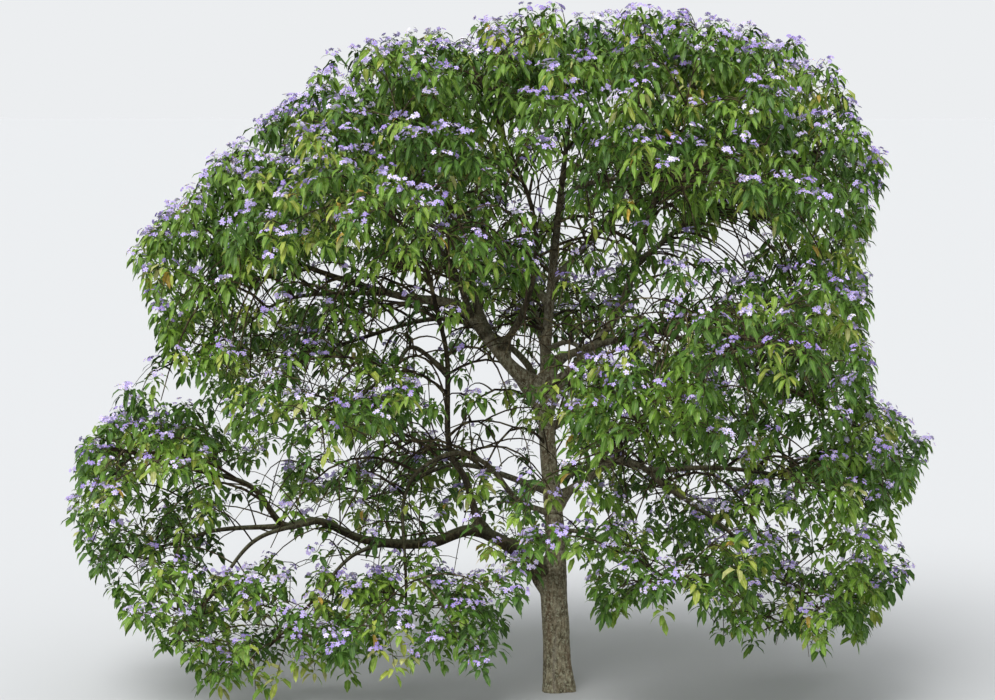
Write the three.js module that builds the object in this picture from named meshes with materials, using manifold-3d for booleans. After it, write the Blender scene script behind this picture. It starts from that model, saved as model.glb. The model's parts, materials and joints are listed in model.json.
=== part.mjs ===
// A wide, low-forking nightshade tree in flower, as one trunk, its boughs and the masses of
// foliage at their tips. Millimetres, +Z up, the foot of the trunk at the origin, the
// viewer's side towards -Y.
import * as THREE from "three";
import { mergeVertices } from "three/addons/utils/BufferGeometryUtils.js";
import Module from "manifold-3d";

const wasm = await Module();
wasm.setup();

// Clearances between neighbouring solids
const faceGap = 0.3;
const cellGap = 5;
const limbGap = 12;
const groundGap = 60;

// Wood: how many flat sides stand for its round section, and how long a straight piece is
const trunkSides = 12;
const thickSides = 6;
const thinSides = 5;
const thickGirth = 70;
const boughStep = 560;
const fewestPieces = 3;
const forkRoom = 0.4; // of a straight piece, which even rings keep from a fork
const taperPower = 0.8;
const trunkGirths = [[0, 272], [0.19, 262], [0.25, 192], [0.5, 152], [0.57, 112], [1, 44]];
const trunkLevels = [0, 0.02, 0.045, 0.085, 0.19, 0.25, 0.38, 0.5, 0.57, 0.7, 0.85, 1];
const flareHeight = 420;
const flareGirth = 82;

// Masses: a limb ends well inside its mass, and a short stem runs on from there
const entryShare = 0.5;
const stemReach = 0.3;
const stemTipShare = 0.75;
const envelopeSlack = 1.05;
const flattening = 1.25;

// Branches leave the stem one above the other, from the highest level of the mass to the lowest
const branchPatch = 188000;
const branchGirths = [20, 15];
const branchReach = 0.7;
const branchAttempts = 6;
const firstBranch = 0.3;
const branchStretch = 0.68;
const topLevel = 0.85;
const levelStretch = 1.6;
const levelScatter = 0.2;
const bearingScatter = 0.5;
const kneeRise = 0.1;

// Sprays: each blade stands for a whole spray of the tree's own leaves
const spraysPerBranch = 5;
const firstSpray = 0.97;
const sprayGap = 0.16;
const sprayLength = 760;
const shortestSpray = 0.9;
const lengthScatter = 0.2;
const turnScatter = 0.8;
const sprayTwist = 1.7;
const sprayTurn = 0.9;
const sprayAttempts = 10;
const sprayShrink = 0.05;
const sideSpread = 0.9;
const liftSpread = 0.7;

// A blade's own shape, as shares of its length or of its width, and its thickness
const crestShare = 0.42;
const crestRise = 0.04;
const tipShare = 0.96;
const sprayDroop = 0.3;
const sprayWidthShare = 0.5;
const edgeSag = 0.12;
const sprayThickness = 10;

// How far a blade keeps from wood, branches and other blades, as shares of its width
const woodRoom = 0.3;
const branchRoom = 0.45;
const bladeRoom = 0.5;
const testMarks = 6; // along each straight piece, where distances are measured

const treeSeed = 2;
const goldenAngle = Math.PI * (3 - Math.sqrt(5));

const up = new THREE.Vector3(0, 0, 1);
const at = (x, y, z) => new THREE.Vector3(x, y, z);

// Every limb leaves its parent at a share of the parent's length and passes its few bends.
// It ends where it enters its mass, a flattened ball of the given heart and spread.
// girth holds the diameters at foot and tip. arch raises the middle of a limb with no bends.
const limbs = {
  trunk: {
    bends: [
      at(-29, 0, 657), at(-48, 0, 1014), at(-29, 10, 1391), at(-63, 20, 1884), at(-126, 30, 2657),
      at(-130, 50, 3200), at(-40, 110, 4300),
    ],
    girth: [272, 44],
    heart: at(155, 60, 6070),
    spread: [1080, 700],
  },
  low_left_bough: {
    parent: "trunk", share: 0.205,
    bends: [
      at(-420, -40, 1390), at(-840, -80, 1585), at(-1250, -150, 1470), at(-1870, -260, 1520),
      at(-2330, -330, 1715), at(-2630, -380, 1680), at(-2950, -420, 2060),
    ],
    girth: [150, 42],
    heart: at(-3980, -500, 2380), spread: [950, 700],
  },
  outer_left_bough: {
    parent: "low_left_bough", share: 0.7, arch: 90, girth: [58, 32],
    heart: at(-4060, -100, 1360), spread: [820, 620],
  },
  drooping_left_bough: {
    parent: "low_left_bough", share: 0.64, girth: [52, 28],
    bends: [at(-2900, -560, 1560)],
    heart: at(-3560, -950, 740), spread: [900, 620],
  },
  hanging_left_bough: {
    parent: "low_left_bough", share: 0.46, girth: [50, 28],
    bends: [at(-2000, -600, 1400)],
    heart: at(-2560, -1150, 800), spread: [850, 620],
  },
  rising_left_bough: {
    parent: "low_left_bough", share: 0.215, girth: [76, 46],
    bends: [at(-905, -90, 2080), at(-1050, -160, 2370), at(-1080, -220, 3300)],
    heart: at(-1250, -650, 4150), spread: [900, 640],
  },
  front_left_bough: {
    parent: "rising_left_bough", share: 0.7, girth: [50, 32],
    bends: [at(-1400, -500, 3400), at(-1560, -900, 3240)],
    heart: at(-2070, -1650, 2850), spread: [950, 720],
  },
  arching_bough: {
    parent: "trunk", share: 0.31, girth: [62, 28],
    bends: [
      at(-400, -130, 1890), at(-690, -230, 2240), at(-980, -300, 2370), at(-1340, -380, 2210),
      at(-1480, -460, 1960),
    ],
    heart: at(-1450, -950, 930), spread: [800, 600],
  },
  great_left_bough: {
    parent: "trunk", share: 0.53, girth: [142, 40],
    bends: [
      at(-406, -40, 3120), at(-676, -90, 3430), at(-960, -120, 3760), at(-1510, -160, 3860),
      at(-2190, -160, 4060),
    ],
    heart: at(-3280, -100, 4480), spread: [1120, 760],
  },
  left_tier_bough: {
    parent: "great_left_bough", share: 0.62, girth: [52, 30],
    bends: [at(-2600, -260, 3840)],
    heart: at(-3420, -380, 3340), spread: [900, 680],
  },
  upper_left_bough: {
    parent: "great_left_bough", share: 0.27, girth: [94, 42],
    bends: [at(-830, 40, 3950), at(-985, 60, 4600)],
    heart: at(-1680, -50, 5520), spread: [1120, 740],
  },
  crown_left_bough: {
    parent: "great_left_bough", share: 0.2, girth: [74, 36],
    bends: [at(-380, -190, 3640), at(-230, -230, 4200), at(-260, -260, 4680)],
    heart: at(-720, -350, 5860), spread: [940, 680],
  },
  front_left_high_bough: {
    parent: "great_left_bough", share: 0.34, girth: [66, 34],
    bends: [at(-1050, -900, 4250)],
    heart: at(-1650, -2150, 4800), spread: [1060, 760],
  },
  great_right_bough: {
    parent: "trunk", share: 0.52, girth: [112, 42],
    bends: [at(300, 20, 3330), at(590, 30, 3740), at(800, 60, 4400), at(1000, 90, 5000)],
    heart: at(1320, 150, 6020), spread: [1080, 740],
  },
  upper_right_bough: {
    parent: "great_right_bough", share: 0.52, girth: [64, 34],
    bends: [at(1450, 120, 4720)],
    heart: at(2380, 120, 5200), spread: [960, 760],
  },
  front_crown_bough: {
    parent: "trunk", share: 0.86, girth: [56, 32],
    bends: [at(220, -160, 4920), at(560, -700, 5000)],
    heart: at(1150, -1800, 5000), spread: [1040, 740],
  },
  right_tier_bough: {
    parent: "trunk", share: 0.575, girth: [86, 36],
    bends: [at(370, -60, 3390), at(830, -110, 3490), at(1360, -140, 3720)],
    heart: at(2480, -200, 3900), spread: [900, 700],
  },
  front_right_bough: {
    parent: "right_tier_bough", share: 0.36, girth: [54, 32],
    bends: [at(1150, -1000, 3640)],
    heart: at(1700, -2550, 3620), spread: [1000, 720],
  },
  right_drooping_bough: {
    parent: "right_tier_bough", share: 0.5, girth: [50, 30],
    bends: [at(1650, -240, 3280)],
    heart: at(2600, -380, 2760), spread: [880, 680],
  },
  low_right_bough: {
    parent: "trunk", share: 0.335, girth: [88, 34],
    bends: [
      at(280, -40, 2080), at(520, -70, 2245), at(790, -110, 2210), at(1000, -150, 2040),
      at(1450, -260, 1750),
    ],
    heart: at(2330, -650, 1000), spread: [980, 700],
  },
  outer_right_bough: {
    parent: "low_right_bough", share: 0.42, girth: [60, 32],
    bends: [at(1560, 20, 2180)],
    heart: at(2980, 60, 1980), spread: [860, 640],
  },
  front_low_right_bough: {
    parent: "trunk", share: 0.285, girth: [50, 28],
    bends: [at(240, -520, 1620)],
    heart: at(950, -1750, 1400), spread: [920, 680],
  },
  front_middle_bough: {
    parent: "trunk", share: 0.6, girth: [58, 30],
    bends: [at(120, -800, 3460)],
    heart: at(640, -2350, 2900), spread: [860, 640],
  },
  back_left_high_bough: {
    parent: "trunk", share: 0.68, arch: 160, girth: [76, 36],
    heart: at(-1550, 1950, 4900), spread: [1080, 780],
  },
  back_right_high_bough: {
    parent: "trunk", share: 0.72, arch: 160, girth: [76, 36],
    heart: at(1400, 2050, 4950), spread: [1080, 780],
  },
  back_left_bough: {
    parent: "trunk", share: 0.48, girth: [80, 36],
    bends: [at(-330, 520, 3180), at(-1080, 1180, 3540)],
    heart: at(-2700, 2050, 3100), spread: [1020, 740],
  },
  back_right_bough: {
    parent: "trunk", share: 0.46, arch: 260, girth: [80, 36],
    heart: at(2250, 2200, 3080), spread: [1020, 740],
  },
  back_middle_bough: {
    parent: "trunk", share: 0.58, arch: 200, girth: [80, 36],
    heart: at(-250, 3050, 3480), spread: [1020, 760],
  },
  back_low_left_bough: {
    parent: "trunk", share: 0.35, arch: 320, girth: [72, 34],
    heart: at(-1950, 2650, 1500), spread: [1060, 740],
  },
  back_low_right_bough: {
    parent: "trunk", share: 0.37, arch: 320, girth: [72, 34],
    heart: at(1500, 2800, 1480), spread: [1060, 740],
  },
};

// A small seeded generator, so that the tree grows the same way every time
const rolls = { seedFactor: 7919, seedStep: 12345, factor: 1664525, step: 1013904223 };

function dice(seed) {
  let state = (seed * rolls.seedFactor + rolls.seedStep) >>> 0;
  return () => {
    state = (Math.imul(state, rolls.factor) + rolls.step) >>> 0;
    return state / 2 ** 32;
  };
}

// The course of each limb, from the middle of its parent to the rim of its mass
for (const [name, limb] of Object.entries(limbs)) {
  const parent = limbs[limb.parent];
  const foot = parent ? parent.course.getPointAt(limb.share) : at(0, 0, 0);
  const middle = foot.clone().lerp(limb.heart, 0.5).addScaledVector(up, limb.arch ?? 0);
  const bends = limb.bends ?? [middle];
  const arrival = bends.at(-1).clone().sub(limb.heart).setLength(entryShare * limb.spread[0]);
  limb.name = name;
  limb.tip = limb.heart.clone().add(arrival);
  limb.course = new THREE.CatmullRomCurve3([foot, ...bends, limb.tip], false, "centripetal");
  limb.length = limb.course.getLength();
  limb.sides = parent ? (limb.girth[0] > thickGirth ? thickSides : thinSides) : trunkSides;
}
for (const limb of Object.values(limbs)) limb.levels = limb.parent ? ringLevels(limb) : trunkLevels;

function evenLevels(steps) {
  return Array.from({ length: steps + 1 }, (_, i) => i / steps);
}

// A bough's rings: one where each of its own boughs leaves, and even ones away from those
function ringLevels(limb) {
  const steps = Math.max(fewestPieces, Math.round(limb.length / boughStep));
  const leaving = Object.values(limbs).filter((other) => limbs[other.parent] === limb);
  const forks = leaving.map((other) => other.share);
  const between = evenLevels(steps).slice(1, -1).filter((level) =>
    forks.every((share) => Math.abs(share - level) > forkRoom / steps),
  );
  return [0, ...forks, ...between, 1].sort((a, b) => a - b);
}

// Half a limb's thickness at a share of its length. The trunk steps down where boughs leave
// it, and flares at the ground.
function radiusOf(limb, share) {
  if (limb.parent) return THREE.MathUtils.lerp(...limb.girth, share ** taperPower) / 2;
  const next = Math.max(1, trunkGirths.findIndex(([level]) => level >= share));
  const [[lowLevel, low], [highLevel, high]] = trunkGirths.slice(next - 1, next + 1);
  const girth = THREE.MathUtils.mapLinear(share, lowLevel, highLevel, low, high);
  const flare = flareGirth * Math.max(0, 1 - (share * limb.length) / flareHeight) ** 2;
  return (girth + flare) / 2;
}

// A closed bar of a few flat sides that follows a curve, with a ring at each level. It can be
// grown on all sides, to cut its neighbours clear of it.
function bentBar(curve, levels, radius, sides, grow = 0, footHeading = null) {
  const ring = Array.from({ length: sides }, (_, i) => (2 * Math.PI * i) / sides);
  const section = new THREE.Shape(ring.map((a) => new THREE.Vector2(Math.cos(a), Math.sin(a))));
  const steps = levels.length - 1;
  const bar = new THREE.ExtrudeGeometry(section, { depth: 1, steps, bevelEnabled: false });
  const headings = levels.map((share) => curve.getTangentAt(share));
  if (footHeading) headings[0].copy(footHeading);
  const alongY = Math.abs(headings[0].y) > 0.9;
  let across = alongY ? at(1, 0, 0) : at(0, 1, 0);
  const frames = levels.map((share, i) => {
    const heading = headings[i];
    across = across.clone().addScaledVector(heading, -across.dot(heading)).normalize();
    const centre = curve.getPointAt(share);
    if (i === steps) centre.addScaledVector(heading, grow);
    const reach = radius(share) + grow / Math.cos(Math.PI / sides);
    return { centre, across, over: heading.clone().cross(across), reach };
  });
  const place = bar.getAttribute("position");
  const corner = new THREE.Vector3();
  for (let i = 0; i < place.count; i++) {
    corner.fromBufferAttribute(place, i);
    const { centre, across: side, over, reach } = frames[Math.round(corner.z * steps)];
    const point = centre.clone();
    point.addScaledVector(side, corner.x * reach).addScaledVector(over, corner.y * reach);
    place.setXYZ(i, point.x, point.y, point.z);
  }
  return solidOf(bar);
}

const mergeDistance = 1e-3;

// A manifold solid of a closed geometry, turned the right way out
function solidOf(geometry) {
  const bare = geometry.index ? geometry.toNonIndexed() : geometry.clone();
  bare.deleteAttribute("normal");
  bare.deleteAttribute("uv");
  const merged = mergeVertices(bare, mergeDistance);
  const vertProperties = new Float32Array(merged.getAttribute("position").array);
  const corners = [...merged.index.array];
  const build = (triVerts) =>
    new wasm.Manifold(new wasm.Mesh({ numProp: 3, vertProperties, triVerts }));
  const outward = build(new Uint32Array(corners));
  return outward.volume() > 0 ? outward : build(new Uint32Array(corners.toReversed()));
}

// The largest piece of a solid: scraps that a cut leaves and sealed hollows are dropped
function largest(solid) {
  return solid.decompose().reduce((a, b) => (b.volume() > a.volume() ? b : a));
}

// The solid as a named mesh whose own origin is at its foot
function meshOf(name, solid, material, foot) {
  const { vertProperties, triVerts } = solid.getMesh();
  const geometry = new THREE.BufferGeometry();
  geometry.setAttribute("position", new THREE.BufferAttribute(vertProperties, 3));
  geometry.setIndex(new THREE.BufferAttribute(triVerts, 1));
  geometry.translate(-foot.x, -foot.y, -foot.z);
  geometry.computeVertexNormals();
  const mesh = new THREE.Mesh(geometry, material);
  mesh.name = name;
  mesh.position.copy(foot);
  return mesh;
}

function limbSolid(limb, grow = 0) {
  const radius = (share) => radiusOf(limb, share);
  return bentBar(limb.course, limb.levels, radius, limb.sides, grow, limb.parent ? null : up);
}

// Wood first: each bough is cut clear of every limb that is already there
const bark = new THREE.MeshStandardMaterial({ color: 0x6b6251, roughness: 0.95, metalness: 0 });
const darkBark = new THREE.MeshStandardMaterial({ color: 0x4a4234, roughness: 0.92, metalness: 0 });
const leafGreen = new THREE.MeshStandardMaterial({ color: 0x476226, roughness: 0.55, metalness: 0 });

const tree = new THREE.Group();
tree.name = "nightshade_tree";
const cleared = [];
for (const limb of Object.values(limbs)) {
  const wood = cleared.reduce((rest, other) => rest.subtract(other), limbSolid(limb));
  cleared.push(limbSolid(limb, faceGap));
  const material = limb.parent ? darkBark : bark;
  tree.add(meshOf(limb.name, largest(wood), material, limb.course.getPointAt(0)));
}

// Closest distance between two straight pieces, measured from marks along both
function pieceDistance([a, b], [c, d]) {
  const first = new THREE.Line3(a, b);
  const second = new THREE.Line3(c, d);
  const mark = new THREE.Vector3();
  const foot = new THREE.Vector3();
  let best = Infinity;
  for (let i = 0; i <= testMarks; i++) {
    second.closestPointToPoint(first.at(i / testMarks, mark), true, foot);
    best = Math.min(best, mark.distanceTo(foot));
    first.closestPointToPoint(second.at(i / testMarks, mark), true, foot);
    best = Math.min(best, mark.distanceTo(foot));
  }
  return best;
}

// A path of points as its straight pieces
function piecesOf(path) {
  return path.slice(1).map((point, i) => [path[i], point]);
}

// Straight pieces of every limb, with their radius, for the tests that keep foliage clear
const limbPieces = Object.values(limbs).flatMap((limb) => {
  const line = limb.levels.map((share) => limb.course.getPointAt(share));
  return piecesOf(line).map((piece, i) => ({ piece, radius: radiusOf(limb, limb.levels[i]) }));
});

function clearOfLimbs(path, halfWidth) {
  return piecesOf(path).every((own) =>
    limbPieces.every(({ piece, radius }) =>
      pieceDistance(own, piece) > radius + halfWidth + limbGap,
    ),
  );
}

// How far a point lies inside the flat-sided cell that a mass has to itself
function cellDepth(limb, point) {
  const stretched = (p) => at(p.x, p.y, p.z * flattening);
  const own = stretched(limb.heart);
  const here = stretched(point);
  return Math.min(
    ...Object.values(limbs).filter((other) => other !== limb).map((other) => {
      const theirs = stretched(other.heart);
      const ownPower = here.distanceToSquared(own) - limb.spread[0] ** 2;
      const theirPower = here.distanceToSquared(theirs) - other.spread[0] ** 2;
      return (theirPower - ownPower) / (2 * own.distanceTo(theirs)) / flattening;
    }),
  );
}

function insideMass(limb, point) {
  const [wide, high] = limb.spread;
  const offset = point.clone().sub(limb.heart).divide(at(wide, wide, high));
  return (
    offset.length() < envelopeSlack && point.z > groundGap && cellDepth(limb, point) > cellGap
  );
}

// A point of a mass's flattened ball, by its direction and its share of the way out
function ballPoint(limb, direction, share) {
  const [wide, high] = limb.spread;
  return direction.clone().multiply(at(wide, wide, high)).multiplyScalar(share).add(limb.heart);
}

// One mass: its stem runs on from the limb's tip, branches leave the stem on a golden
// spiral, and sprays leave the branches
function growMass(limb, seed) {
  const roll = dice(seed);
  const [wide, high] = limb.spread;
  const branchCount = Math.round((wide * high) / branchPatch);
  const heading = limb.course.getTangentAt(1);
  const foot = limb.tip.clone().addScaledVector(heading, faceGap);
  const bend = foot.clone().addScaledVector(heading, stemReach * wide);
  const stem = new THREE.QuadraticBezierCurve3(foot, bend, ballPoint(limb, heading, stemReach));
  const branches = [];
  const phase = roll() * 2 * Math.PI;
  for (let i = 0; i < branchCount; i++) {
    const base = stem.getPointAt(firstBranch + (branchStretch * (i + 0.5)) / branchCount);
    const fall = (levelStretch * (i + 0.5)) / branchCount;
    const level = topLevel - fall + levelScatter * (roll() - 0.5);
    const bearing = phase + goldenAngle * i + bearingScatter * (roll() - 0.5);
    for (let attempt = 0; attempt < branchAttempts; attempt++) {
      const flat = Math.sqrt(1 - level * level);
      const turned = bearing + sprayTurn * attempt;
      const direction = at(flat * Math.cos(turned), flat * Math.sin(turned), level);
      const end = ballPoint(limb, direction, branchReach);
      const knee = base.clone().lerp(end, 0.5);
      knee.z += kneeRise * base.distanceTo(end);
      const path = [base, knee, end];
      if (!path.every((p) => insideMass(limb, p))) continue;
      if (!clearOfLimbs(path, branchGirths[0] / 2)) continue;
      branches.push(path);
      break;
    }
  }
  const sprays = [];
  for (const path of branches) growSprays(limb, path, branches, sprays, roll);
  return { stem, branches, sprays };
}

// The sprays of one branch: root, crest and tip of each arching blade, and its side direction
function growSprays(limb, path, branches, sprays, roll) {
  const branch = new THREE.QuadraticBezierCurve3(...path);
  for (let k = 0; k < spraysPerBranch; k++) {
    const root = branch.getPointAt(firstSpray - sprayGap * k);
    const outward = root.clone().sub(limb.heart).normalize();
    const heading = path[2].clone().sub(path[0]).normalize().add(outward).normalize();
    const side = heading.clone().cross(up).normalize();
    const lift = side.clone().cross(heading);
    const fullLength = sprayLength * (shortestSpray + lengthScatter * roll());
    const start = goldenAngle * k + turnScatter * roll();
    const twist = sprayTwist * (roll() - 0.5);
    for (let attempt = 0; attempt < sprayAttempts; attempt++) {
      const angle = start + sprayTurn * attempt;
      const length = fullLength * (1 - sprayShrink * attempt);
      const reach = heading.clone();
      reach.addScaledVector(side, sideSpread * Math.cos(angle));
      reach.addScaledVector(lift, liftSpread * Math.sin(angle)).normalize();
      const across = reach.clone().cross(up).normalize().applyAxisAngle(reach, twist);
      const crest = root.clone().addScaledVector(reach, crestShare * length);
      crest.z += crestRise * length;
      const tip = root.clone().addScaledVector(reach, tipShare * length);
      tip.z -= sprayDroop * length;
      const spray = { root, crest, tip, across, width: sprayWidthShare * length };
      if (!fits(limb, spray, path, branches, sprays)) continue;
      sprays.push(spray);
      break;
    }
  }
}

// Whether a blade stays in its mass's own space, clear of the wood and of the other blades
function fits(limb, spray, ownPath, branches, sprays) {
  const { root, crest, tip, width } = spray;
  const edges = [-1, 1].map((side) => edgeOf(spray, side));
  if (![crest, tip, ...edges].every((p) => insideMass(limb, p))) return false;
  if (!clearOfLimbs([root, crest, tip], woodRoom * width)) return false;
  if (!clearOfLimbs(edges, sprayThickness)) return false;
  const outer = [crest, tip];
  const clearOfBranches = branches.filter((path) => path !== ownPath).every((path) =>
    piecesOf(path).every((piece) => pieceDistance(outer, piece) > branchRoom * width),
  );
  return clearOfBranches && sprays.every((other) =>
    pieceDistance(outer, [other.crest, other.tip]) > bladeRoom * width,
  );
}

// The corner at one side of a blade, hanging below its crest
function edgeOf({ crest, across, width }, side) {
  const edge = crest.clone().addScaledVector(across, (side * width) / 2);
  edge.z -= edgeSag * width;
  return edge;
}

// An eight-sided blade, arched along its length and folded along its middle
function bladeSolid(spray) {
  const blade = new THREE.OctahedronGeometry(1, 0);
  const { root, crest, tip } = spray;
  const spots = {
    "-1,0,0": root,
    "1,0,0": tip,
    "0,-1,0": edgeOf(spray, -1),
    "0,1,0": edgeOf(spray, 1),
    "0,0,1": crest.clone().addScaledVector(up, sprayThickness / 2),
    "0,0,-1": crest.clone().addScaledVector(up, -sprayThickness / 2),
  };
  const place = blade.getAttribute("position");
  for (let i = 0; i < place.count; i++) {
    const key = [place.getX(i), place.getY(i), place.getZ(i)].map((v) => Math.round(v) + 0);
    const spot = spots[key.join()];
    place.setXYZ(i, spot.x, spot.y, spot.z);
  }
  return solidOf(blade);
}

// A thin branch as a three-sided bar that tapers towards its end
function twigSolid(curve, girths, steps) {
  const radius = (share) => THREE.MathUtils.lerp(...girths, share) / 2;
  return bentBar(curve, evenLevels(steps), radius, 3);
}

function massSolid(limb, seed) {
  const { stem, branches, sprays } = growMass(limb, seed);
  const stemGirth = limb.girth[1];
  let mass = twigSolid(stem, [stemGirth, stemTipShare * stemGirth], 3);
  for (const path of branches) {
    mass = mass.add(twigSolid(new THREE.QuadraticBezierCurve3(...path), branchGirths, 2));
  }
  for (const spray of sprays) mass = mass.add(bladeSolid(spray));
  return largest(mass);
}

Object.values(limbs).forEach((limb, i) => {
  const name = limb.name.replace(/_bough$/, "") + "_foliage";
  tree.add(meshOf(name, massSolid(limb, treeSeed + i), leafGreen, limb.tip));
});

export default tree;
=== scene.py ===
import json
import math

import bmesh
import bpy
import numpy as np
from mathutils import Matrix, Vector, kdtree, noise

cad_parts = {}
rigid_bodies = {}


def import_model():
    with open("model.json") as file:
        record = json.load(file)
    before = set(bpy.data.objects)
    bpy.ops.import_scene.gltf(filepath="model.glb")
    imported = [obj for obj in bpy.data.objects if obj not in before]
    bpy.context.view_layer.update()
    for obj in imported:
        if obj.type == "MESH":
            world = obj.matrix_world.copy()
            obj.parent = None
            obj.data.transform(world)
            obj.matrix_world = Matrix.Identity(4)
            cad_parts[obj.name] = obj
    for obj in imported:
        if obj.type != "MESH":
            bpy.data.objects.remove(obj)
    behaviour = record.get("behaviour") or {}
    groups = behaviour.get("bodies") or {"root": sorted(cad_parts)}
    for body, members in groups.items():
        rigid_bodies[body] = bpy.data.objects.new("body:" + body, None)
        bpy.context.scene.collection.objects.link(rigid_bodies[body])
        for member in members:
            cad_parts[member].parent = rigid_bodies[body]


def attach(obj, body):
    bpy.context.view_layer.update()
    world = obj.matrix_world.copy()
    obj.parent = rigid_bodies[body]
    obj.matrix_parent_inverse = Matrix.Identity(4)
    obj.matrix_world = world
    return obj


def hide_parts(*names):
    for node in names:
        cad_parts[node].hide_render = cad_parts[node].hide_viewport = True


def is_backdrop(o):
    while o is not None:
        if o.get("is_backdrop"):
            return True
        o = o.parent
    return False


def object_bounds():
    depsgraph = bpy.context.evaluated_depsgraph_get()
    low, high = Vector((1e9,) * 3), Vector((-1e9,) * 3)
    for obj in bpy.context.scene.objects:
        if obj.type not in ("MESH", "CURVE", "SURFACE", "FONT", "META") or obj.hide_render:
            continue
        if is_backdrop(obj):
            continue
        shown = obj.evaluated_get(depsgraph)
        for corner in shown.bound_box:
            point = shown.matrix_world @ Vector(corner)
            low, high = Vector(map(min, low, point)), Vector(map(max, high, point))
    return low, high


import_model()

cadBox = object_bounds()
boxLow, boxHigh = (np.array(corner) for corner in cadBox)
up = np.array((0.0, 0.0, 1.0))
goldenAngle = math.pi * (3 - math.sqrt(5))

# The photograph's view
cameraView = {
    "target": (-0.594, 0.0, 3.33),  # the middle of the picture, in the plane of the trunk
    "distance": 26.0,
    "elevation": 5.0,  # degrees above the horizon
    "pixelSize": 0.00966,  # of the picture, measured in the plane of the trunk
    "pictureWidth": 995,  # pixels
    "sensorWidth": 36.0,  # millimetres
    "farthest": 6000.0,
}


def placeCamera(view):
    camera = bpy.data.cameras.new("photo_view")
    focalPixels = view["distance"] / view["pixelSize"]
    camera.sensor_width = view["sensorWidth"]
    camera.lens = focalPixels * view["sensorWidth"] / view["pictureWidth"]
    camera.clip_end = view["farthest"]
    holder = bpy.data.objects.new("photo_view", camera)
    tilt = math.radians(view["elevation"])
    back = Vector((0, -math.cos(tilt), math.sin(tilt)))
    holder.location = Vector(view["target"]) + back * view["distance"]
    holder.rotation_euler = (-back).to_track_quat("-Z", "Y").to_euler()
    bpy.context.collection.objects.link(holder)
    bpy.context.scene.camera = holder


placeCamera(cameraView)
print("camera placed")

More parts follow.
